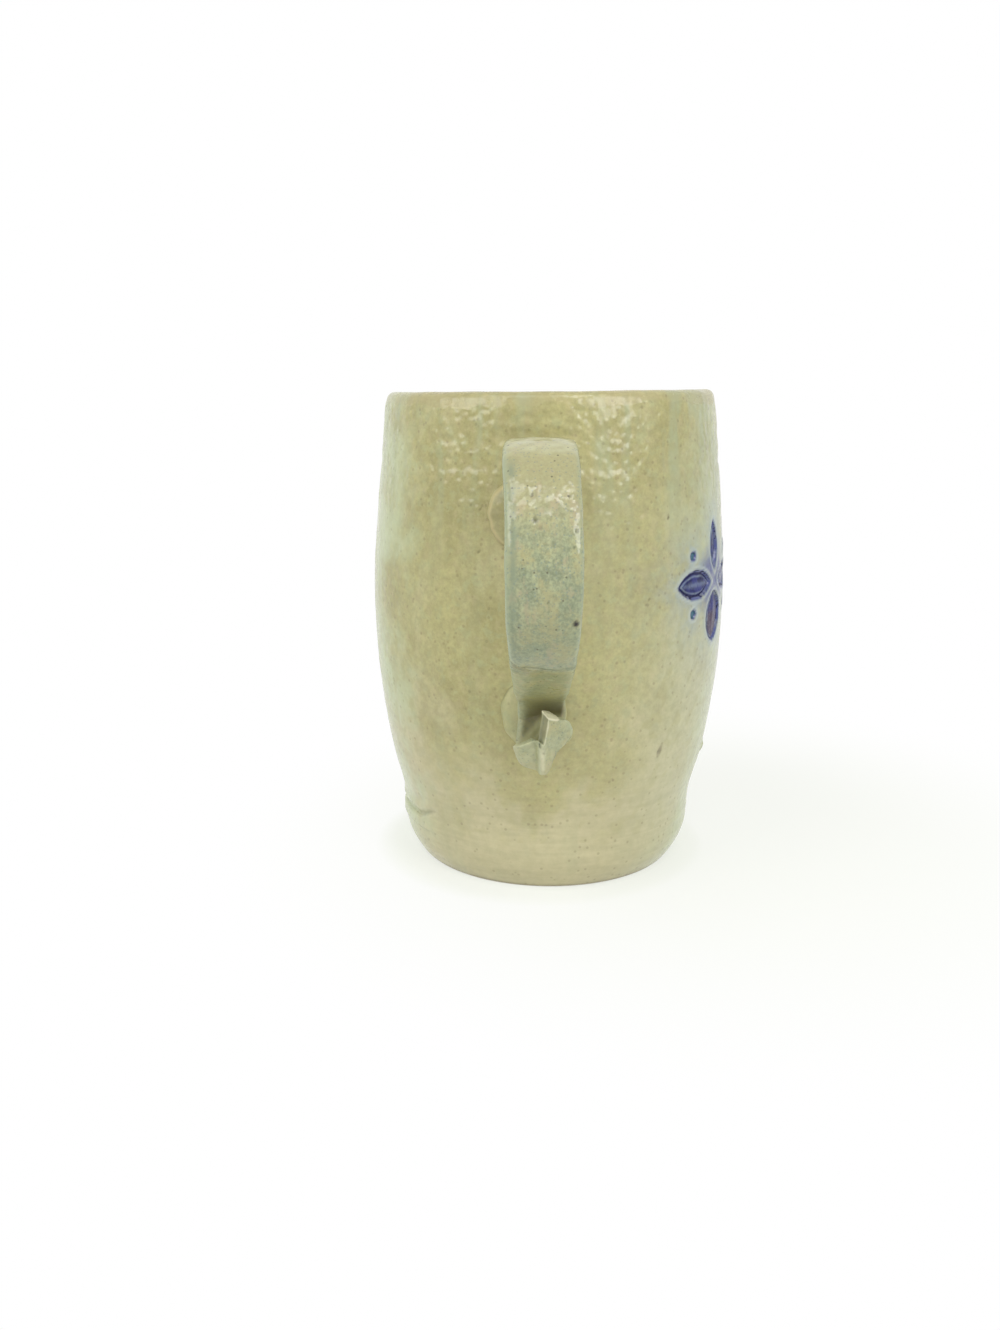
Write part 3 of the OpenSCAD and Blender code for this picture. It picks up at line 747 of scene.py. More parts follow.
def makeFootBand():
    f = footBand
    seat, seatTop = barrel["seatRadius"], barrel["footHeight"]
    angle = np.linspace(-math.pi, math.pi, f["columns"], endpoint=False)[None, :]
    level = 0 * angle
    folded = foldShare(angle)
    top = f["top"] + folded * (foldLine(angle) - f["top"] - 0.25)

    def drawnIn(z):
        inset = (f["edgeRadius"] - f["baseRadius"]) * (1 - z / f["drawHeight"]) ** f["roundness"]
        return f["edgeRadius"] - inset

    rows = [(r + level, level) for r in (seat - 0.2, seat + 0.8, f["baseRadius"] - 0.7)]
    rows.append((f["baseRadius"] - 0.12 + level, 0.07 + level))
    underRows = len(rows)
    for z in np.linspace(0.35, f["drawHeight"], f["drawRows"]):
        rows.append((drawnIn(z) + level, z + level))
    for k in np.linspace(0.08, 1, f["wallRows"]):  # up to the wall and into it
        z = f["drawHeight"] + (top - f["drawHeight"]) * k
        wall = skin(angle, z)[0] + 0.015
        flush = f["edgeRadius"] + (wall - f["edgeRadius"]) * ease(0.0, 0.5, k)
        lapped = np.maximum(flush, wall + f["lap"] * (1 - ease(0.8, 1.0, k)))
        rows.append((flush + folded * (lapped - flush) - 0.25 * ease(0.6, 1.0, k), z))
    outerEnd = len(rows) - 2
    for k in np.linspace(0.1, 1, f["innerRows"]):  # back down inside, against the barrel
        z = top - (top - 0.3) * k
        taper = seat + (wallRadius(seatTop) - seat) * z / seatTop
        rows.append((np.minimum(taper, wallRadius(z)) - f["innerDraw"], z))
    r, z = (np.concatenate([row[k] for row in rows]) for k in range(2))
    number = np.arange(len(rows))[:, None]
    under = number < underRows
    outer = ~under & (number < outerEnd)
    p = onWall(angle, z, r)
    dome = pebbles(p, f["peelSize"], 14)
    lumps = 0.1 * cloud(p, 13.0, 15) + 0.04 * cloud(p * (0.1, 0.1, 1), 2.2, 16)
    lumps = lumps + f["peelHeight"] * (dome - midDome)
    r = r + outer * (lumps - 0.06) * (1 - ease(f["drawHeight"], f["drawHeight"] + 2, z))
    # the dark mark along the very bottom of the band is painted contact shade
    masks = {"dome": 0.3 + 0.6 * dome, "markAndShade": 0.55 * (1 - ease(0.1, 1.1, z)) * outer, "bare": under * 1.0}
    return gridObject("footBand", onWall(angle, z, r), stonewareFinish, masks, ringClosed=True)


place(makeFootBand(), "salt_glaze", "foot_band")
print("foot banded")


# pads of clay that the strap is luted on with: middle as mm to the right of the handle's middle, and height
joinPads = {
    "upperJointPad": {
        "node": "upper_joint_pad", "middle": (-4.0, 97.0), "half": (10.2, 8.8), "proud": 2.1, "seed": 31,
        "creaseAt": 215, "creaseShade": 0.3, "shade": 0.2, "bevel": 0.8, "milk": 0.0,
        # mm to the left, height, radius, how dark
        "spots": ((12.0, 93.6, 0.6, 0.45), (12.1, 91.2, 0.45, 0.4), (11.5, 97.7, 0.5, 0.25)),
    },
    "lowerJointPad": {
        "node": "lower_joint_pad", "middle": (-2.6, 49.3), "half": (8.1, 8.7), "proud": 2.1, "seed": 35,
        "creaseAt": 140, "creaseShade": 0.6, "shade": 0.0, "bevel": 0.0, "milk": 0.22,
        "spots": (),
    },
}
padGrid = {"around": 120, "middleRows": 16, "edgeRows": 12, "underRows": 6, "inWall": 1.2}


def makePad(name, pad):
    seed = pad["seed"]
    turn = np.linspace(0, 2 * math.pi, padGrid["around"], endpoint=False)[None, :]
    reach = [np.linspace(0.05, 0.8, padGrid["middleRows"]), np.linspace(0.83, 1.0, padGrid["edgeRows"])]
    reach = np.concatenate(reach)[:, None]
    under = np.linspace(0.98, 0.05, padGrid["underRows"])[:, None]
    ring = np.stack([np.cos(turn) * 2, np.sin(turn) * 2, 0 * turn], -1)
    out = 1 + 0.05 * cloud(ring, 1.1, seed) + 0.03 * cloud(ring, 0.5, seed + 1)

    def wallPoints(reach, height):
        s = pad["middle"][0] + reach * out * pad["half"][0] * np.cos(turn)
        z = pad["middle"][1] + reach * out * pad["half"][1] * np.sin(turn)
        angle = s / wallRadius(pad["middle"][1])
        return onWall(angle, z, skin(angle, z)[0] + height)

    flat = wallPoints(reach, 0)
    lump = 0.12 * cloud(flat, 4.0, seed + 2)
    height = (pad["proud"] + lump) * (1 - reach ** 4.5) ** 0.62 - 0.3 * reach ** 8
    points = np.concatenate([wallPoints(reach, height), wallPoints(under, -padGrid["inWall"])])
    # painted shade in a crease where the pad meets the wall
    crease = hump(wrapAngle(turn - math.radians(pad["creaseAt"])), 0, 0.5) * ease(0.93, 1.0, reach)
    # painted highlight along the pad's left bevel
    bevel = hump(reach, 0.91, 0.06) * ease(-0.2, 0.4, -np.cos(turn))
    bevel = bevel * (0.8 + 0.4 * cloud(flat, 3.0, seed + 3))
    dark = pad["shade"] * (1 - ease(0.85, 0.95, reach)) + pad["creaseShade"] * crease
    for left, z, radius, strength in pad["spots"]:
        away = np.hypot(flat[..., 1] - left, flat[..., 2] - z) / radius
        dark = np.maximum(dark, strength * (1 - ease(0.5, 1.2, away)))
    underneath = 0 * under + 0 * turn
    masks = {"dome": midDome, "milk": pad["milk"], "dull": 0.4, "markAndShade": np.concatenate([dark, underneath]),
             "padEdgeHighlight": np.concatenate([pad["bevel"] * bevel, underneath])}
    return cappedObject(name, points, stonewareFinish, masks)


for padName, pad in joinPads.items():
    place(makePad(padName, pad), "salt_glaze", pad["node"])
print("pads luted on")


# curves in the handle's upright plane, as distance from the axis and height
def bezier(p0, p1, p2, p3, steps):
    t = np.linspace(0, 1, steps)[:, None]
    p0, p1, p2, p3 = (np.array(p, float) for p in (p0, p1, p2, p3))
    return (1 - t) ** 3 * p0 + 3 * (1 - t) ** 2 * t * p1 + 3 * (1 - t) * t * t * p2 + t ** 3 * p3


def evenly(lines, step):  # points a step apart along lines that join up, and their distance along
    path = np.concatenate([lines[0]] + [line[1:] for line in lines[1:]])
    run = np.concatenate([[0], np.cumsum(np.linalg.norm(np.diff(path, axis=0), axis=1))])
    far = np.linspace(0, run[-1], int(run[-1] / step) + 1)
    return np.stack([np.interp(far, run, path[:, k]) for k in range(2)], -1), far


def squaredOval(a, power):
    c, s = np.cos(a), np.sin(a)
    return np.sign(c) * np.abs(c) ** (2 / power) / 2, np.sign(s) * np.abs(s) ** (2 / power) / 2


def sectionTurns(width, thick, power, count):  # angles whose points lie evenly round a squared oval
    a = np.linspace(0, 2 * math.pi, 2881)
    x, y = squaredOval(a, power)
    run = np.concatenate([[0], np.cumsum(np.hypot(np.diff(x * width), np.diff(y * thick)))])
    return np.interp(np.arange(count) / count * run[-1], run, a)


def pathOutward(path):  # square to the path, on its outer side
    along = np.gradient(path, axis=0)
    along /= np.linalg.norm(along, axis=1, keepdims=True)
    return np.stack([-along[:, 1], along[:, 0]], -1)


strap = {
    "root": 99.0, "climb": 48, "crest": (15.0, 112.0), "far": (79.8, 87.0), "elbow": (23.0, 69.0),
    "joint": 53.5, "bury": 3.4, "inWall": 3.2, "turnDown": 2.5, "tailFront": (48.5, 4.9),
    "width": 16.3, "lowWidth": 12.6, "endDraw": 1.6, "thick": 5.8, "power": 4.6, "crown": 0.14,
    "sway": 1.1, "lowSway": 0.9, "crackDeep": 0.3, "crackLip": 0.14, "sideCrackDeep": 0.16, "gutter": 0.6,
    "wrinkles": ((1.8, 0.75), (3.2, 0.85), (4.8, 0.6)),  # mm below the elbow, slope
    "wrinkleDeep": 0.45, "around": 92, "step": 0.42, "curveSteps": 80,
}
strapMarks = [  # mm to the left of the middle, height, radius, how dark, how deep
    (1.9, 99.5, 0.75, 0.55, 0.35), (0.8, 98.0, 0.5, 0.35, 0.25), (-6.6, 97.4, 0.6, 0.45, 0.3),
    (-6.7, 78.4, 0.85, 1.0, -0.12), (-5.0, 104.0, 0.4, 0.6, 0.1), (2.5, 104.3, 0.3, 0.7, 0.05),
    (-5.9, 94.0, 0.35, 0.7, 0.1), (4.6, 91.0, 0.3, 0.6, 0.05), (-1.0, 83.0, 0.3, 0.6, 0.05),
]
recess = {  # painted shade in the hollow under the strap's end, its heights in mm
    "darkFrom": 62.0, "darkTo": 50.2, "arch": 1.8, "darkest": 0.9,
    "shadeFadeFrom": 50.8, "shadeFadeTo": 48.0, "shadeFaded": 0.25,
    "lowEdge": 49.4, "lowSlope": 1.2, "lowMost": 50.4, "lowSoft": 1.3,
}


def recessShade(across, z):  # painted shade under the strap's end, fading and lighter below to the right
    q = recess
    lowest = np.minimum(q["lowEdge"] - q["lowSlope"] * (across - 1.2), q["lowMost"])
    wedge = ease(lowest - q["lowSoft"], lowest + q["lowSoft"], z)
    arched = z + q["arch"] * ease(0.8, 4.2, across)  # down to the left
    dark = ease(q["darkFrom"], q["darkTo"], arched) ** 1.7
    return wedge * dark * (q["darkest"] - q["shadeFaded"] * ease(q["shadeFadeFrom"], q["shadeFadeTo"], z)), 1 - wedge


def strapLine():  # from inside the wall over the crest, down to the elbow and back into the wall
    k = strap
    root = np.array([wallRadius(k["root"]), k["root"]])
    crest = np.array([wallRadius(k["crest"][1]) + k["crest"][0], k["crest"][1]])
    far = np.array(k["far"])
    elbow = np.array([wallRadius(k["elbow"][1]) + k["elbow"][0], k["elbow"][1]])
    joint = np.array([wallRadius(k["joint"]), k["joint"]])
    lastRun = np.linalg.norm(joint - elbow)
    inward = (joint - elbow) / lastRun
    climb = np.array(cosSin(k["climb"]))
    start = root - climb * k["bury"] * 0.7
    rootRun = np.linalg.norm(crest - root) / 3
    out, fall, elbowFall = quarterPull * np.array([far[0] - crest[0], crest[1] - far[1], far[1] - elbow[1]])
    corners = [
        (start, start + climb * rootRun, crest - (rootRun, 0), crest),
        (crest, crest + (out, 0), far + (0, fall), far),
        (far, far - (0, elbowFall), elbow - inward * elbowFall / 2, elbow),
        (elbow, elbow + inward * lastRun / 3, joint - inward * lastRun / 3, joint + inward * k["bury"]),
    ]
    path, run = evenly([bezier(*four, k["curveSteps"]) for four in corners], k["step"])
    return path, run, elbow, joint, inward


def makeStrap():
    k = strap
    path, run, elbow, joint, inward = strapLine()
    crestAt = run[np.argmax(path[:, 1])]
    farAt = run[np.argmax(path[:, 0])]
    elbowAt = run[np.argmin(np.linalg.norm(path - elbow, axis=1))]
    endAt = run[-1]
    outward = pathOutward(path)
    run = run[:, None]

    a = sectionTurns(k["width"], k["thick"], k["power"], k["around"])[None, :]
    ovalX, ovalY = squaredOval(a, k["power"])
    low = ease(farAt - 4, endAt, run)
    width = k["width"] + (k["lowWidth"] - k["width"]) * low
    width = width * (1 + 0.006 * np.sin(run * 0.23)) - 0.5 * hump(run, crestAt - 6, 7)
    width = width - k["endDraw"] * ease(endAt - k["bury"] - 9, endAt - k["bury"] - 3, run)
    across = ovalX * width
    out = ovalY * k["thick"] + 0 * across
    out = out + k["crown"] * (ovalY > 0) * (1 - (2 * ovalX) ** 2)
    sway = k["sway"] * hump(run, crestAt, 16) + 0.2 * np.sin(run * 0.06) + k["lowSway"] * low
    points = np.stack([-(path[:, :1] + outward[:, :1] * out), across + sway,
                       path[:, 1:] + outward[:, 1:] * out], -1)

    # pulled clay: soft lumps, faint drag lines along it, and the cracked crease at the elbow
    face = ease(0.2, 0.42, ovalY)
    sideways = 2 * ovalX
    runs = run + 0 * across
    drag = np.stack([runs * 0.06, across, out * 2], -1)
    lift = 0.1 * cloud(points, 6.5, 21) + 0.08 * cloud(points, 2.6, 22) + 0.04 * cloud(drag, 1.5, 23) - 0.1
    lift = lift + 0.12 * face * hump(runs, crestAt + 9.4, 1.3)
    lift = lift + 0.14 * face * cloud(points, 1.7, 26) * hump(points[..., 2], 102, 4) * (runs > crestAt)
    beside = ease(-0.4, 0.6, across)
    wander = 0.22 * cloud(np.stack([across, 0 * across, 0 * across], -1), 1.6, 24)
    fromCrack = runs - (elbowAt - 1.1 + 0.9 * (1 - beside)) - wander
    lift = lift - k["crackDeep"] * face * hump(fromCrack, 0, 0.24)
    lift = lift + k["crackLip"] * face * hump(fromCrack, -0.8, 0.5)
    lift = lift - k["sideCrackDeep"] * face * (1 - beside) * hump(fromCrack, 1.5, 0.24)
    # painted shade along the crack and in the wrinkles
    dark = 0.3 * face * hump(fromCrack, 0, 0.28)
    fromLeft = face * ease(1.5, 4.5, across)
    for below, slope in k["wrinkles"]:  # fanning in from the left edge
        wrinkle = runs - elbowAt - below + slope * (across - 2.0)
        dark = np.maximum(dark, 0.2 * fromLeft * hump(wrinkle, 0, 0.3))
        lift = lift - k["wrinkleDeep"] * fromLeft * (hump(wrinkle, 0, 0.36) - hump(wrinkle, 0.8, 0.4) / 3)
    atEnd = ease(endAt - 17, endAt - 10, runs)
    valley = ease(-0.95 - 0.05 * atEnd, -0.5 - 0.25 * atEnd, sideways)
    valley = valley * (1 - ease(0.12 + 0.3 * atEnd, 0.58 + 0.3 * atEnd, sideways)) * face
    sunk = valley * ease(elbowAt, elbowAt + 7, runs) * (1 - atEnd)  # below the crease, between the edges
    lift = lift - k["gutter"] * sunk
    onFront = face * (runs > crestAt) > 0.1
    for left, height, radius, strength, depth in strapMarks:
        away = np.hypot(across + sway - left, points[..., 2] - height) / radius
        away = np.where(onFront, away * (1 + 0.35 * cloud(points, 0.9, 25)), 9)
        dark = np.maximum(dark, strength * (1 - ease(0.45, 1.1, away)))
        lift = lift - depth * hump(away, 0, 0.75) + 0.3 * depth * hump(away, 1.25, 0.4)
    points = points + outwardNormals(points) * lift[..., None]

    # the low end turns down to run on into the tail
    level, standOff = k["tailFront"]
    front = wallRadius(level) + standOff
    slope = inward[0] / inward[1]
    under = joint + np.array([-inward[1], inward[0]]) * k["thick"] / 2
    meets = under[1] + (front - under[0]) / slope
    turnDown = k["turnDown"]
    z = points[..., 2]
    curve = front + slope * np.maximum(z - meets + turnDown, 0) ** 2 / (4 * turnDown)
    curve = curve - 0.4 * ease(51.3, 49.2, z)
    pushed = np.maximum(curve + points[..., 0], 0) * ease(0.1, 0.4, ovalY)
    pushed = pushed * ease(elbowAt + 6, elbowAt + 10, runs)
    points[..., 0] -= pushed * ease(meets + turnDown + 0.6, meets + turnDown - 0.6, z)
    keepInWall(points, k["inWall"])

    # where the glaze breaks pale over edges; the crest pale, partly painted light on its up-facing top;
    # painted shade, olive and the near-black pool, towards the low end, with painted light lifting the lower
    # hollow
    edge = ease(0.4, 0.48, np.abs(ovalX)) * np.where(ovalX > 0, 1.0, 0.6)
    ragged = runs + 1.2 * cloud(points, 2.4, 27)
    crest = (1 - ease(crestAt + 8.0, crestAt + 11.0, ragged)) * (0.5 + 0.5 * face)
    crest = crest * mottle(points, 1.5, 28, 0.72, 0.6)
    slate = hump(across, 6.3, 0.9) * face * ease(crestAt + 9, crestAt + 15, runs)
    slate = slate * (1 - ease(elbowAt - 9, elbowAt, runs)) * mottle(points, 2.6, 29, 0.75, 0.6)
    aboveElbow = ease(farAt - 8, elbowAt - 4, runs) * (1 - ease(elbowAt, elbowAt + 3, runs))
    slate = np.maximum(0.9 * slate, 0.32 * aboveElbow)
    below = ease(elbowAt - 1, elbowAt + 4, runs)
    crest = np.maximum(crest, 0.4 * below * face * (1 - valley))
    # painted shade under the strap's end; where it stops lower down, crest adds painted light against the
    # hollow's shade
    pooledAndShaded, paler = recessShade(across + sway, points[..., 2])
    paler = paler * atEnd
    lowRight = ease(55.5, 53.5, points[..., 2]) * (ovalX < 0) * ease(-0.2, 0.1, ovalY)
    valley = np.maximum(valley, lowRight * atEnd)
    masks = {"edge": edge * (1 - 0.6 * atEnd) * (1 - valley), "markAndShade": dark, "slate": slate,
             "crest": np.maximum(crest * (1 - valley * atEnd), 0.8 * valley * paler),
             "dull": 0.6 * ease(elbowAt - 2, elbowAt + 2, runs) + 0.4 * atEnd,
             "olive": (0.55 + 0.45 * atEnd - 0.8 * paler) * valley * below,
             "poolAndShade": valley * below * pooledAndShaded}
    return cappedObject("handleStrap", points, handleFinish, masks)


place(makeStrap(), "handle_glaze", "handle_strap")
print("strap pulled")


# the strap's tail, turned up on itself and twisted so that one edge comes forward
tail = {
    "top": 56.0, "wallGap": 3.0, "level": 48.5, "gap": 8.4, "low": 38.5, "tipHeight": 53.2, "inWall": 2.5,
    # share of the way along, mm to the left edge, mm to the right edge, thickness, degrees of twist
    "shape": ((0.00, 6.2, -4.6, 3.6, 0), (0.15, 6.1, -5.0, 3.6, 0), (0.30, 6.6, -4.6, 3.5, 0),
              (0.42, 6.9, -3.2, 3.5, 0), (0.54, 6.3, -1.9, 3.4, 2), (0.64, 6.9, -2.3, 3.3, 6),
              (0.70, 6.9, -2.8, 3.2, 10), (0.73, 6.4, -4.0, 3.1, 15), (0.752, 3.4, -5.8, 3.0, 21),
              (0.77, 1.5, -7.0, 3.0, 27), (0.80, 1.0, -7.9, 3.0, 33), (0.86, 0.5, -8.1, 2.9, 36),
              (0.91, 0.1, -7.0, 2.9, 36), (0.95, -0.1, -5.0, 2.9, 36), (1.00, -0.3, -3.6, 2.8, 36)),
    "leftRise": 0.007, "lobeRise": 2.3, "rightRise": 0.9, "tipSlope": 0.5, "tipFall": 0.3, "setBack": 1.4,
    "lowestAt": 0.54, "ridge": (0.54, 0.8, 0.9, 1.4),  # from and to along the way, mm to the left at either
    "sharpFrom": 50, "around": 120, "spacedFor": (9.0, 3.4, 5.0), "step": 0.22, "curveSteps": 40,
    # each of these sets in between two shares of the way along
    "bend": (0.42, 0.54), "bendEnd": (0.74, 0.84), "secondLeg": (0.4, 0.5), "upturn": (0.7, 0.8),
    "tip": (0.93, 1.0), "cutEnd": (0.985, 1.0),
}


def tailLine():  # down along the wall, round the bend and up again
    k = tail
    steps = k["curveSteps"]
    bend = k["gap"] / 2
    bendZ = k["low"] + bend
    wallX = wallRadius(k["level"]) + k["wallGap"]
    outX = wallX + k["gap"]
    bottom = np.array([wallX + bend, k["low"]])
    pull = quarterPull * bend
    return evenly([
        np.linspace((wallX, k["top"]), (wallX, bendZ), steps),
        bezier((wallX, bendZ), (wallX, bendZ - pull), bottom - (pull, 0), bottom, steps),
        bezier(bottom, bottom + (pull, 0), (outX, bendZ - pull), (outX, bendZ), steps),
        np.linspace((outX, bendZ), (outX, k["tipHeight"]), steps),
    ], k["step"])


def makeTail():
    k = tail
    path, run = tailLine()
    outward = pathOutward(path)
    share = run / run[-1]
    table = np.array(k["shape"])
    left, right, thick, twist = (np.interp(share, table[:, 0], table[:, n])[:, None] for n in range(1, 5))
    share = share[:, None]
    upturned = ease(*k["upturn"], share)
    secondLeg = ease(*k["secondLeg"], share)
    cutEnd = ease(*k["cutEnd"], share)
    a = sectionTurns(*k["spacedFor"], k["around"])[None, :]
    c, s = np.cos(a), np.sin(a)
    ovalX, ovalY = squaredOval(a, 3.0 + 5.0 * upturned * (c > 0))
    across = (left + right) / 2 + ovalX * (left - right)
    out = ovalY * thick

    # an upright ridge on the front, with the left lobe set back
    ridgeFrom, ridgeTo, ridgeLow, ridgeHigh = k["ridge"]
    beside = across - (ridgeLow + (ridgeHigh - ridgeLow) * ease(ridgeFrom, ridgeTo, share))
    inBend = ease(*k["bend"], share) * (1 - ease(*k["bendEnd"], share))
    bentFront = inBend * ease(0.0, 0.3, -ovalY)
    setBack = k["setBack"] * (0.45 + 0.55 * ease(0.54, 0.68, share)) * ease(0.1, 0.8, beside)
    bent = inBend * (0.6 + 0.4 * ease(0.45, -0.15, ovalY))
    out = out + bent * (setBack + 0.1 * np.maximum(beside, 0) + 0.4 * np.maximum(-beside - 1.2, 0))
    thinner = 1 - 0.7 * upturned * ease(0.1, 0.5, -ovalX)  # towards the right
    out = np.where(ovalY > 0, out * thinner, out)
    turn = np.radians(twist)
    x = -outward[:, :1] * out
    points = np.stack([-path[:, :1] + x * np.cos(turn) - across * np.sin(turn),
                       x * np.sin(turn) + across * np.cos(turn),
                       path[:, 1:] + outward[:, 1:] * out], -1)

    # the bend rises to either side of its lowest point, and the end is cut askew
    rise = k["leftRise"] * np.maximum(across, 0) ** 3 + k["rightRise"] * np.maximum(-across - 0.8, 0)
    points[..., 2] += hump(share, k["lowestAt"], 0.13) * rise
    lobe = ease(0.4, 1.8, across) * (1 - 0.25 * ease(1.8, 6.2, across))
    points[..., 2] += k["lobeRise"] * lobe * ease(0.52, 0.68, share) * (1 - ease(0.75, 0.82, share))
    fall = k["tipFall"] * (left - across) + k["tipSlope"] * (thick / 2 - out)
    points[..., 2] -= ease(*k["tip"], share) * fall
    lift = 0.15 * cloud(points, 3.6, 41) + 0.13 * cloud(points, 1.4, 42)
    points = points + outwardNormals(points) * lift[..., None]
    keepInWall(points, k["inWall"])

    # where the glaze breaks pale over corners, ridge and tip; painted shade in the recess, in the groove
    # beside the ridge and on the turned side; painted light on sides and the lower recess that fall in shade
    corner = hump(np.abs(c) - np.abs(s), 0, 0.3)
    edge = most(upturned * corner, cutEnd, bentFront * hump(beside, 0.0, 0.4))
    palest = np.maximum(1 - ease(0.6, 2.0, left - across), 0.6 * (1 - ease(0.3, 1.2, across - right)))
    inside = ease(0.1, 0.35, ovalY) * (1 - ease(0.36, 0.47, -ovalX) * ease(0.5, 0.6, share))
    inside = inside * (1 - 0.9 * palest * (1 - upturned))  # the strap's light edges run on down either side
    pooledAndShaded, lower = recessShade(across, points[..., 2])
    pooledAndShaded = inside * pooledAndShaded * (1 - secondLeg)
    lower = inside * np.maximum(lower, secondLeg)
    front = secondLeg * ease(0.0, 0.3, -ovalY) * (0.8 + 0.5 * cloud(points, 2.2, 43))
    onRidge = bentFront * hump(beside, -0.7, 0.8)
    groove = bentFront * hump(beside, 0.5, 0.3)
    rightSide = ease(0.3, 0.45, -ovalX)
    leftSide = ease(0.3, 0.45, ovalX) * ease(0.48, 0.56, share)
    # partly painted light: the lobes' left and right sides and the lower recess are lightened against their
    # shade
    crest = most(front * (0.55 + 0.3 * ease(0.0, 1.0, beside)), 0.9 * onRidge, 0.6 * upturned * rightSide,
                 upturned * corner * np.where(c > 0, 0.9, 0.5), 0.45 * palest * (1 - upturned),
                 0.9 * leftSide * (1 - upturned), 0.8 * lower, cutEnd)
    cream = np.maximum(0.7 * ease(0.76, 0.82, share) * corner * (c > 0) * (s < 0), 0.45 * onRidge)
    cream = cream * mottle(points, 1.1, 44, 0.75, 0.6)
    side = ease(0.755, 0.8, share) * ease(0.4, 0.47, ovalX) * (1 - corner)
    side = side * mottle(points, 1.3, 45, 0.85, 0.4)
    # olive, slate and the near-black pool here are painted shade in the groove, on the turned side and in the
    # recess
    masks = {"edge": edge, "dull": 1 + 0 * edge, "crest": crest * (1 - 0.8 * groove), "slate": 0.5 * side,
             "olive": most(0.6 * groove, 0.5 * side, inside - 0.3 * lower),
             "cream": most(cream, 0.1 * lower, cutEnd), "poolAndShade": np.maximum(pooledAndShaded, 0.48 * side)}

    # a last, smaller ring rounds off the cut end
    end = points[-1].mean(0)
    points = np.concatenate([points, (end + (points[-1] - end) * 0.9 + (0, 0, 0.12))[None]])
    cap = {"edge": 1, "dull": 1, "crest": 1, "slate": 0, "olive": 0, "cream": 0.75, "poolAndShade": 0}
    masks = {name: np.concatenate([values, cap[name] + 0 * values[-1:]]) for name, values in masks.items()}
    piece = cappedObject("handleTailCurl", points, handleFinish, masks)
    piece.data.set_sharp_from_angle(angle=math.radians(k["sharpFrom"]))
    return piece


place(makeTail(), "handle_glaze", "handle_tail_curl")
print("tail turned up")


# cobalt slip in the cutting
slip = {
    "edgeDepth": 0.1, "grooveDepth": 0.62, "raise": 0.36, "ribRaise": 0.12, "under": 1.25, "stroke": 1.05,
    "dotDepth": 0.42, "dotRaise": 0.32, "dotUnder": 1.2,
    "pooledAndShaded": {"left": 0.0, "right": 0.0, "top": 0.25, "bottom": 0.9},
    "topColumns": 41, "underColumns": 13, "petalRows": 70, "dotTopRows": 12, "dotUnderRows": 4,
}


def slipPoints(s, t, depth):
    z = flower["height"] + t
    angle = flower["fromHandle"] + np.arcsin(s / wallRadius(z))
    return onWall(angle, z, skin(angle, z)[0] - depth)


def makePetal(name, angle, length, halfWidth, pooledAndShaded):
    bow = arcRadius(length, halfWidth)
    along = length * (0.5 - 0.5 * np.cos(np.linspace(0.06, math.pi - 0.06, slip["petalRows"])))[:, None]
    half = np.sqrt(bow ** 2 - (along - length / 2) ** 2) - (bow - halfWidth) + 0.04
    v = [np.linspace(-1, 1, slip["topColumns"]), np.linspace(0.96, -0.96, slip["underColumns"])]
    v = np.concatenate(v)[None, :]
    onTop = np.arange(v.size)[None, :] < slip["topColumns"]
    side = v * half
    inset = (1 - np.abs(v)) * half
    far = along + 0 * side
    share = along / length
    waver = cloud(np.stack([far, side, length + 0 * side], -1), 2.2, 51)
    raised = ease(0.75, 1.7, inset)
    rib = hump(v, 0.0, 0.2) * ease(0.05, 0.25, share) * (1 - ease(0.75, 1.0, share))
    depth = slip["edgeDepth"] + slip["grooveDepth"] * ease(0.0, 0.5, inset) - slip["raise"] * raised
    depth = np.where(onTop, depth - slip["ribRaise"] * rib + 0.05 * waver, slip["under"])
    cosine, sine = cosSin(angle)
    far = flower["start"] + far
    points = slipPoints(far * cosine - side * sine, far * sine + side * cosine, depth)
    stroke = slip["stroke"] + 0.3 * waver
    ridge = hump(inset, stroke + 0.4, 0.24) * (0.75 + 0.35 * waver)
    masks = {
        "groove": 1 - ease(stroke - 0.15, stroke + 0.2, inset),
        "rib": np.clip(0.85 * ridge + 0.35 * rib * (1 - pooledAndShaded), 0, 1),
        "poolAndShade": pooledAndShaded * raised * ease(0.15, 0.7, share + 0.15 * waver),
    }
    return cappedObject(name, points, cobaltFinish, masks)


def makeDots():
    turn = np.linspace(0, 2 * math.pi, 36, endpoint=False)[None, :]
    reach = [np.linspace(0.06, 1.03, slip["dotTopRows"]), np.linspace(0.95, 0.06, slip["dotUnderRows"])]
    reach = np.concatenate(reach)[:, None]
    onTop = np.arange(len(reach))[:, None] < slip["dotTopRows"]
    depth = np.where(onTop, slip["dotDepth"] - slip["dotRaise"] * ease(0.55, 1.0, reach), slip["dotUnder"])
    masks = {"groove": 0.5 * ease(0.5, 1.0, reach), "teal": 0.9}
    dots = []
    for number, (ds, dt) in enumerate(dotPlaces()):
        radius = flower["dotRadius"] * (1 + 0.08 * np.sin(2 * turn + number))
        points = slipPoints(ds + reach * radius * np.cos(turn), dt + reach * radius * np.sin(turn), depth)
        dots.append(cappedObject("dot" if dots else "cobaltDots", points, cobaltFinish, masks))
    with bpy.context.temp_override(active_object=dots[0], selected_editable_objects=dots):
        bpy.ops.object.join()
    return dots[0]


for side, pooledAndShaded in slip["pooledAndShaded"].items():
    petal = makePetal("cobalt" + side.capitalize() + "Petal", *flower["petals"][side], pooledAndShaded)
    place(petal, "cobalt_slip", "cobalt_" + side + "_petal")
place(makeDots(), "cobalt_slip", "cobalt_dots")
print("cobalt laid in")


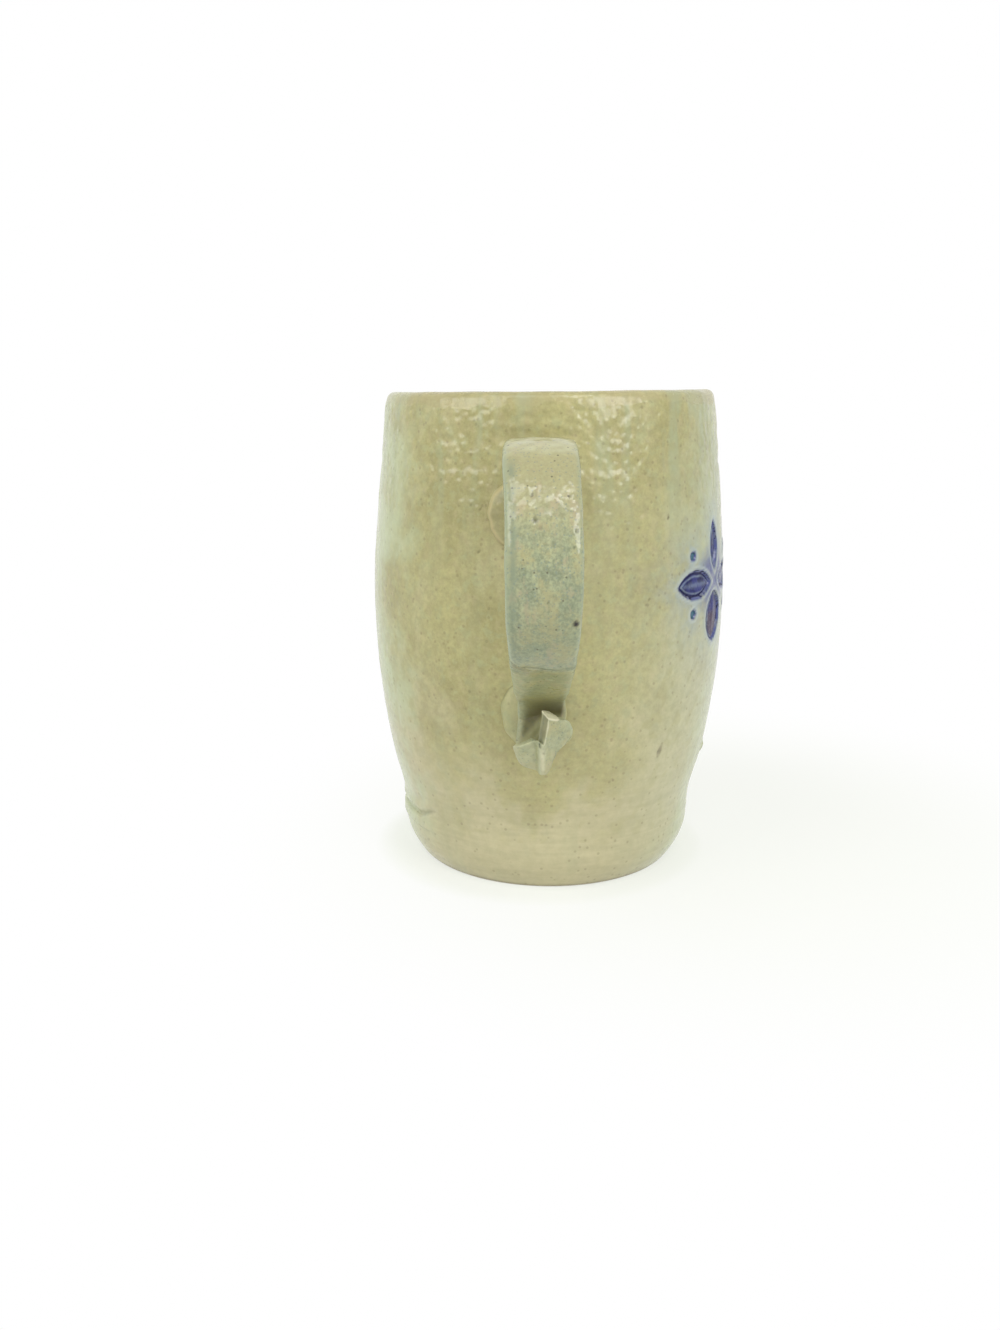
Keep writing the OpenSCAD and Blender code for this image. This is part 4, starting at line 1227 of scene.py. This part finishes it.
# floor, light and camera
studio = {
    "floorSize": 6.0, "floorDrop": 0.00005, "floor": colour(0.90, 0.905, 0.89), "white": colour(1, 1, 1),
    "nearGlow": 0.68, "nearTone": colour(0.94, 0.965, 0.88), "contact": (0.040, 0.053), "contactShade": 0.85,
    "shadowTo": (0.012, -0.045, 0.0), "fade": (0.03, 0.145), "sideShade": 0.6, "ambient": 0.44,
}
lampAim = (0, 0, 0.07)
lamps = {  # degrees round from the camera's side, degrees up, distance, width, height in metres, watts
    "leftLamp": (-56, 29, 0.9, 0.60, 0.40, 2.5),
    "rightLamp": (44, 27, 0.9, 0.40, 0.42, 2.75),
    "leftHighLamp": (-42, 58, 0.9, 0.34, 0.30, 0.95),
    "rightHighLamp": (36, 58, 0.9, 0.22, 0.30, 0.7),
    "frontTopLamp": (14, 58, 0.9, 0.20, 0.16, 0.6),
    "softLamp": (0, 48, 1.3, 1.6, 1.2, 1.3),
    "backLamp": (180, 35, 1.3, 1.4, 1.0, 3.6),
}
cameraView = {  # millimetres and degrees, but focal and axisAt in pixels
    "pixels": (1000, 1330), "focal": 1150.0, "away": 310.7, "height": 125.0,
    "round": 0.55, "pitch": 13.5, "axisAt": 49.6, "sensor": 36.0, "clipStart": 10.0,
}


def seenWhite(tree):  # 1 where the camera, or a mirroring or clear surface, looks at it
    path = addNode(tree, "LightPath").outputs
    return strongest(tree, path["Is Camera Ray"], path["Is Glossy Ray"], path["Is Transmission Ray"])


def makeFloor():
    half = studio["floorSize"] / 2
    corners = [(x * half, y * half, -studio["floorDrop"]) for x, y in ((-1, -1), (1, -1), (1, 1), (-1, 1))]
    mesh = bpy.data.meshes.new("floor")
    mesh.from_pydata(corners, [], [(0, 1, 2, 3)])
    floor = bpy.data.objects.new("floor", mesh)
    scene.collection.objects.link(floor)
    material = bpy.data.materials.new("floorPaper")
    tree = clearedTree(material)
    where = objectSpot(tree)
    away = addNode(tree, "VectorMath", {0: where}, operation="LENGTH").outputs["Value"]
    sockets = {0: where, 1: studio["shadowTo"]}
    beside = addNode(tree, "VectorMath", sockets, operation="DISTANCE").outputs["Value"]
    shade = strongest(tree, ramp(tree, away, *studio["contact"], studio["contactShade"], 0.0),
                      ramp(tree, beside, *studio["fade"], studio["sideShade"], 0.0))
    glow = times(tree, seenWhite(tree), ramp(tree, shade, 0.0, 1.0, 1.0, studio["nearGlow"]))
    tone = mixColour(tree, shade, studio["white"], studio["nearTone"])
    paper = addNode(tree, "BsdfDiffuse", {"Color": studio["floor"]}).outputs[0]
    white = addNode(tree, "Emission", {"Color": tone, "Strength": 1.0}).outputs[0]
    shader = addNode(tree, "MixShader", {0: glow, 1: paper, 2: white}).outputs[0]
    addNode(tree, "OutputMaterial", {"Surface": shader})
    mesh.materials.append(material)


def makeWorld():
    world = bpy.data.worlds.new("studioWorld")
    tree = clearedTree(world)
    sockets = {"Value": seenWhite(tree), "To Min": studio["ambient"], "To Max": 1.0}
    strength = addNode(tree, "MapRange", sockets).outputs[0]
    sky = addNode(tree, "Background", {"Color": studio["white"], "Strength": strength}).outputs[0]
    addNode(tree, "OutputWorld", {"Surface": sky})
    scene.world = world


def makeLamps():
    for name, (side, up, away, width, height, watts) in lamps.items():
        toCamera, toRight = cosSin(side)
        level, rise = cosSin(up)
        toward = Vector((-toCamera * level, -toRight * level, rise))
        light = bpy.data.lights.new(name, "AREA")
        light.shape = "RECTANGLE"
        light.size, light.size_y, light.energy = width, height, watts
        lamp = bpy.data.objects.new(name, light)
        lamp.location = Vector(lampAim) + toward * away
        lamp.visible_glossy = name != "backLamp"  # fills the far side without a white line along the rim
        lamp.rotation_euler = (-toward).to_track_quat("-Z", "Y").to_euler()
        scene.collection.objects.link(lamp)


def makeCamera():
    v = cameraView
    lens = bpy.data.cameras.new("camera")
    lens.sensor_width = v["sensor"]
    lens.lens = v["focal"] / max(v["pixels"]) * v["sensor"]
    lens.clip_start = v["clipStart"] * mm
    camera = bpy.data.objects.new("camera", lens)
    toCamera, toRight = cosSin(v["round"])
    level, drop = cosSin(v["pitch"])
    camera.location = Vector((-v["away"] * toCamera, -v["away"] * toRight, v["height"])) * mm
    aim = math.radians(v["round"]) + math.atan(v["axisAt"] * level / v["focal"])
    forward = Vector((math.cos(aim) * level, math.sin(aim) * level, -drop))
    camera.rotation_euler = forward.to_track_quat("-Z", "Y").to_euler()
    scene.collection.objects.link(camera)
    scene.camera = camera


makeFloor()
makeWorld()
makeLamps()
makeCamera()
scene.view_settings.view_transform = "Standard"
print("studio lit")
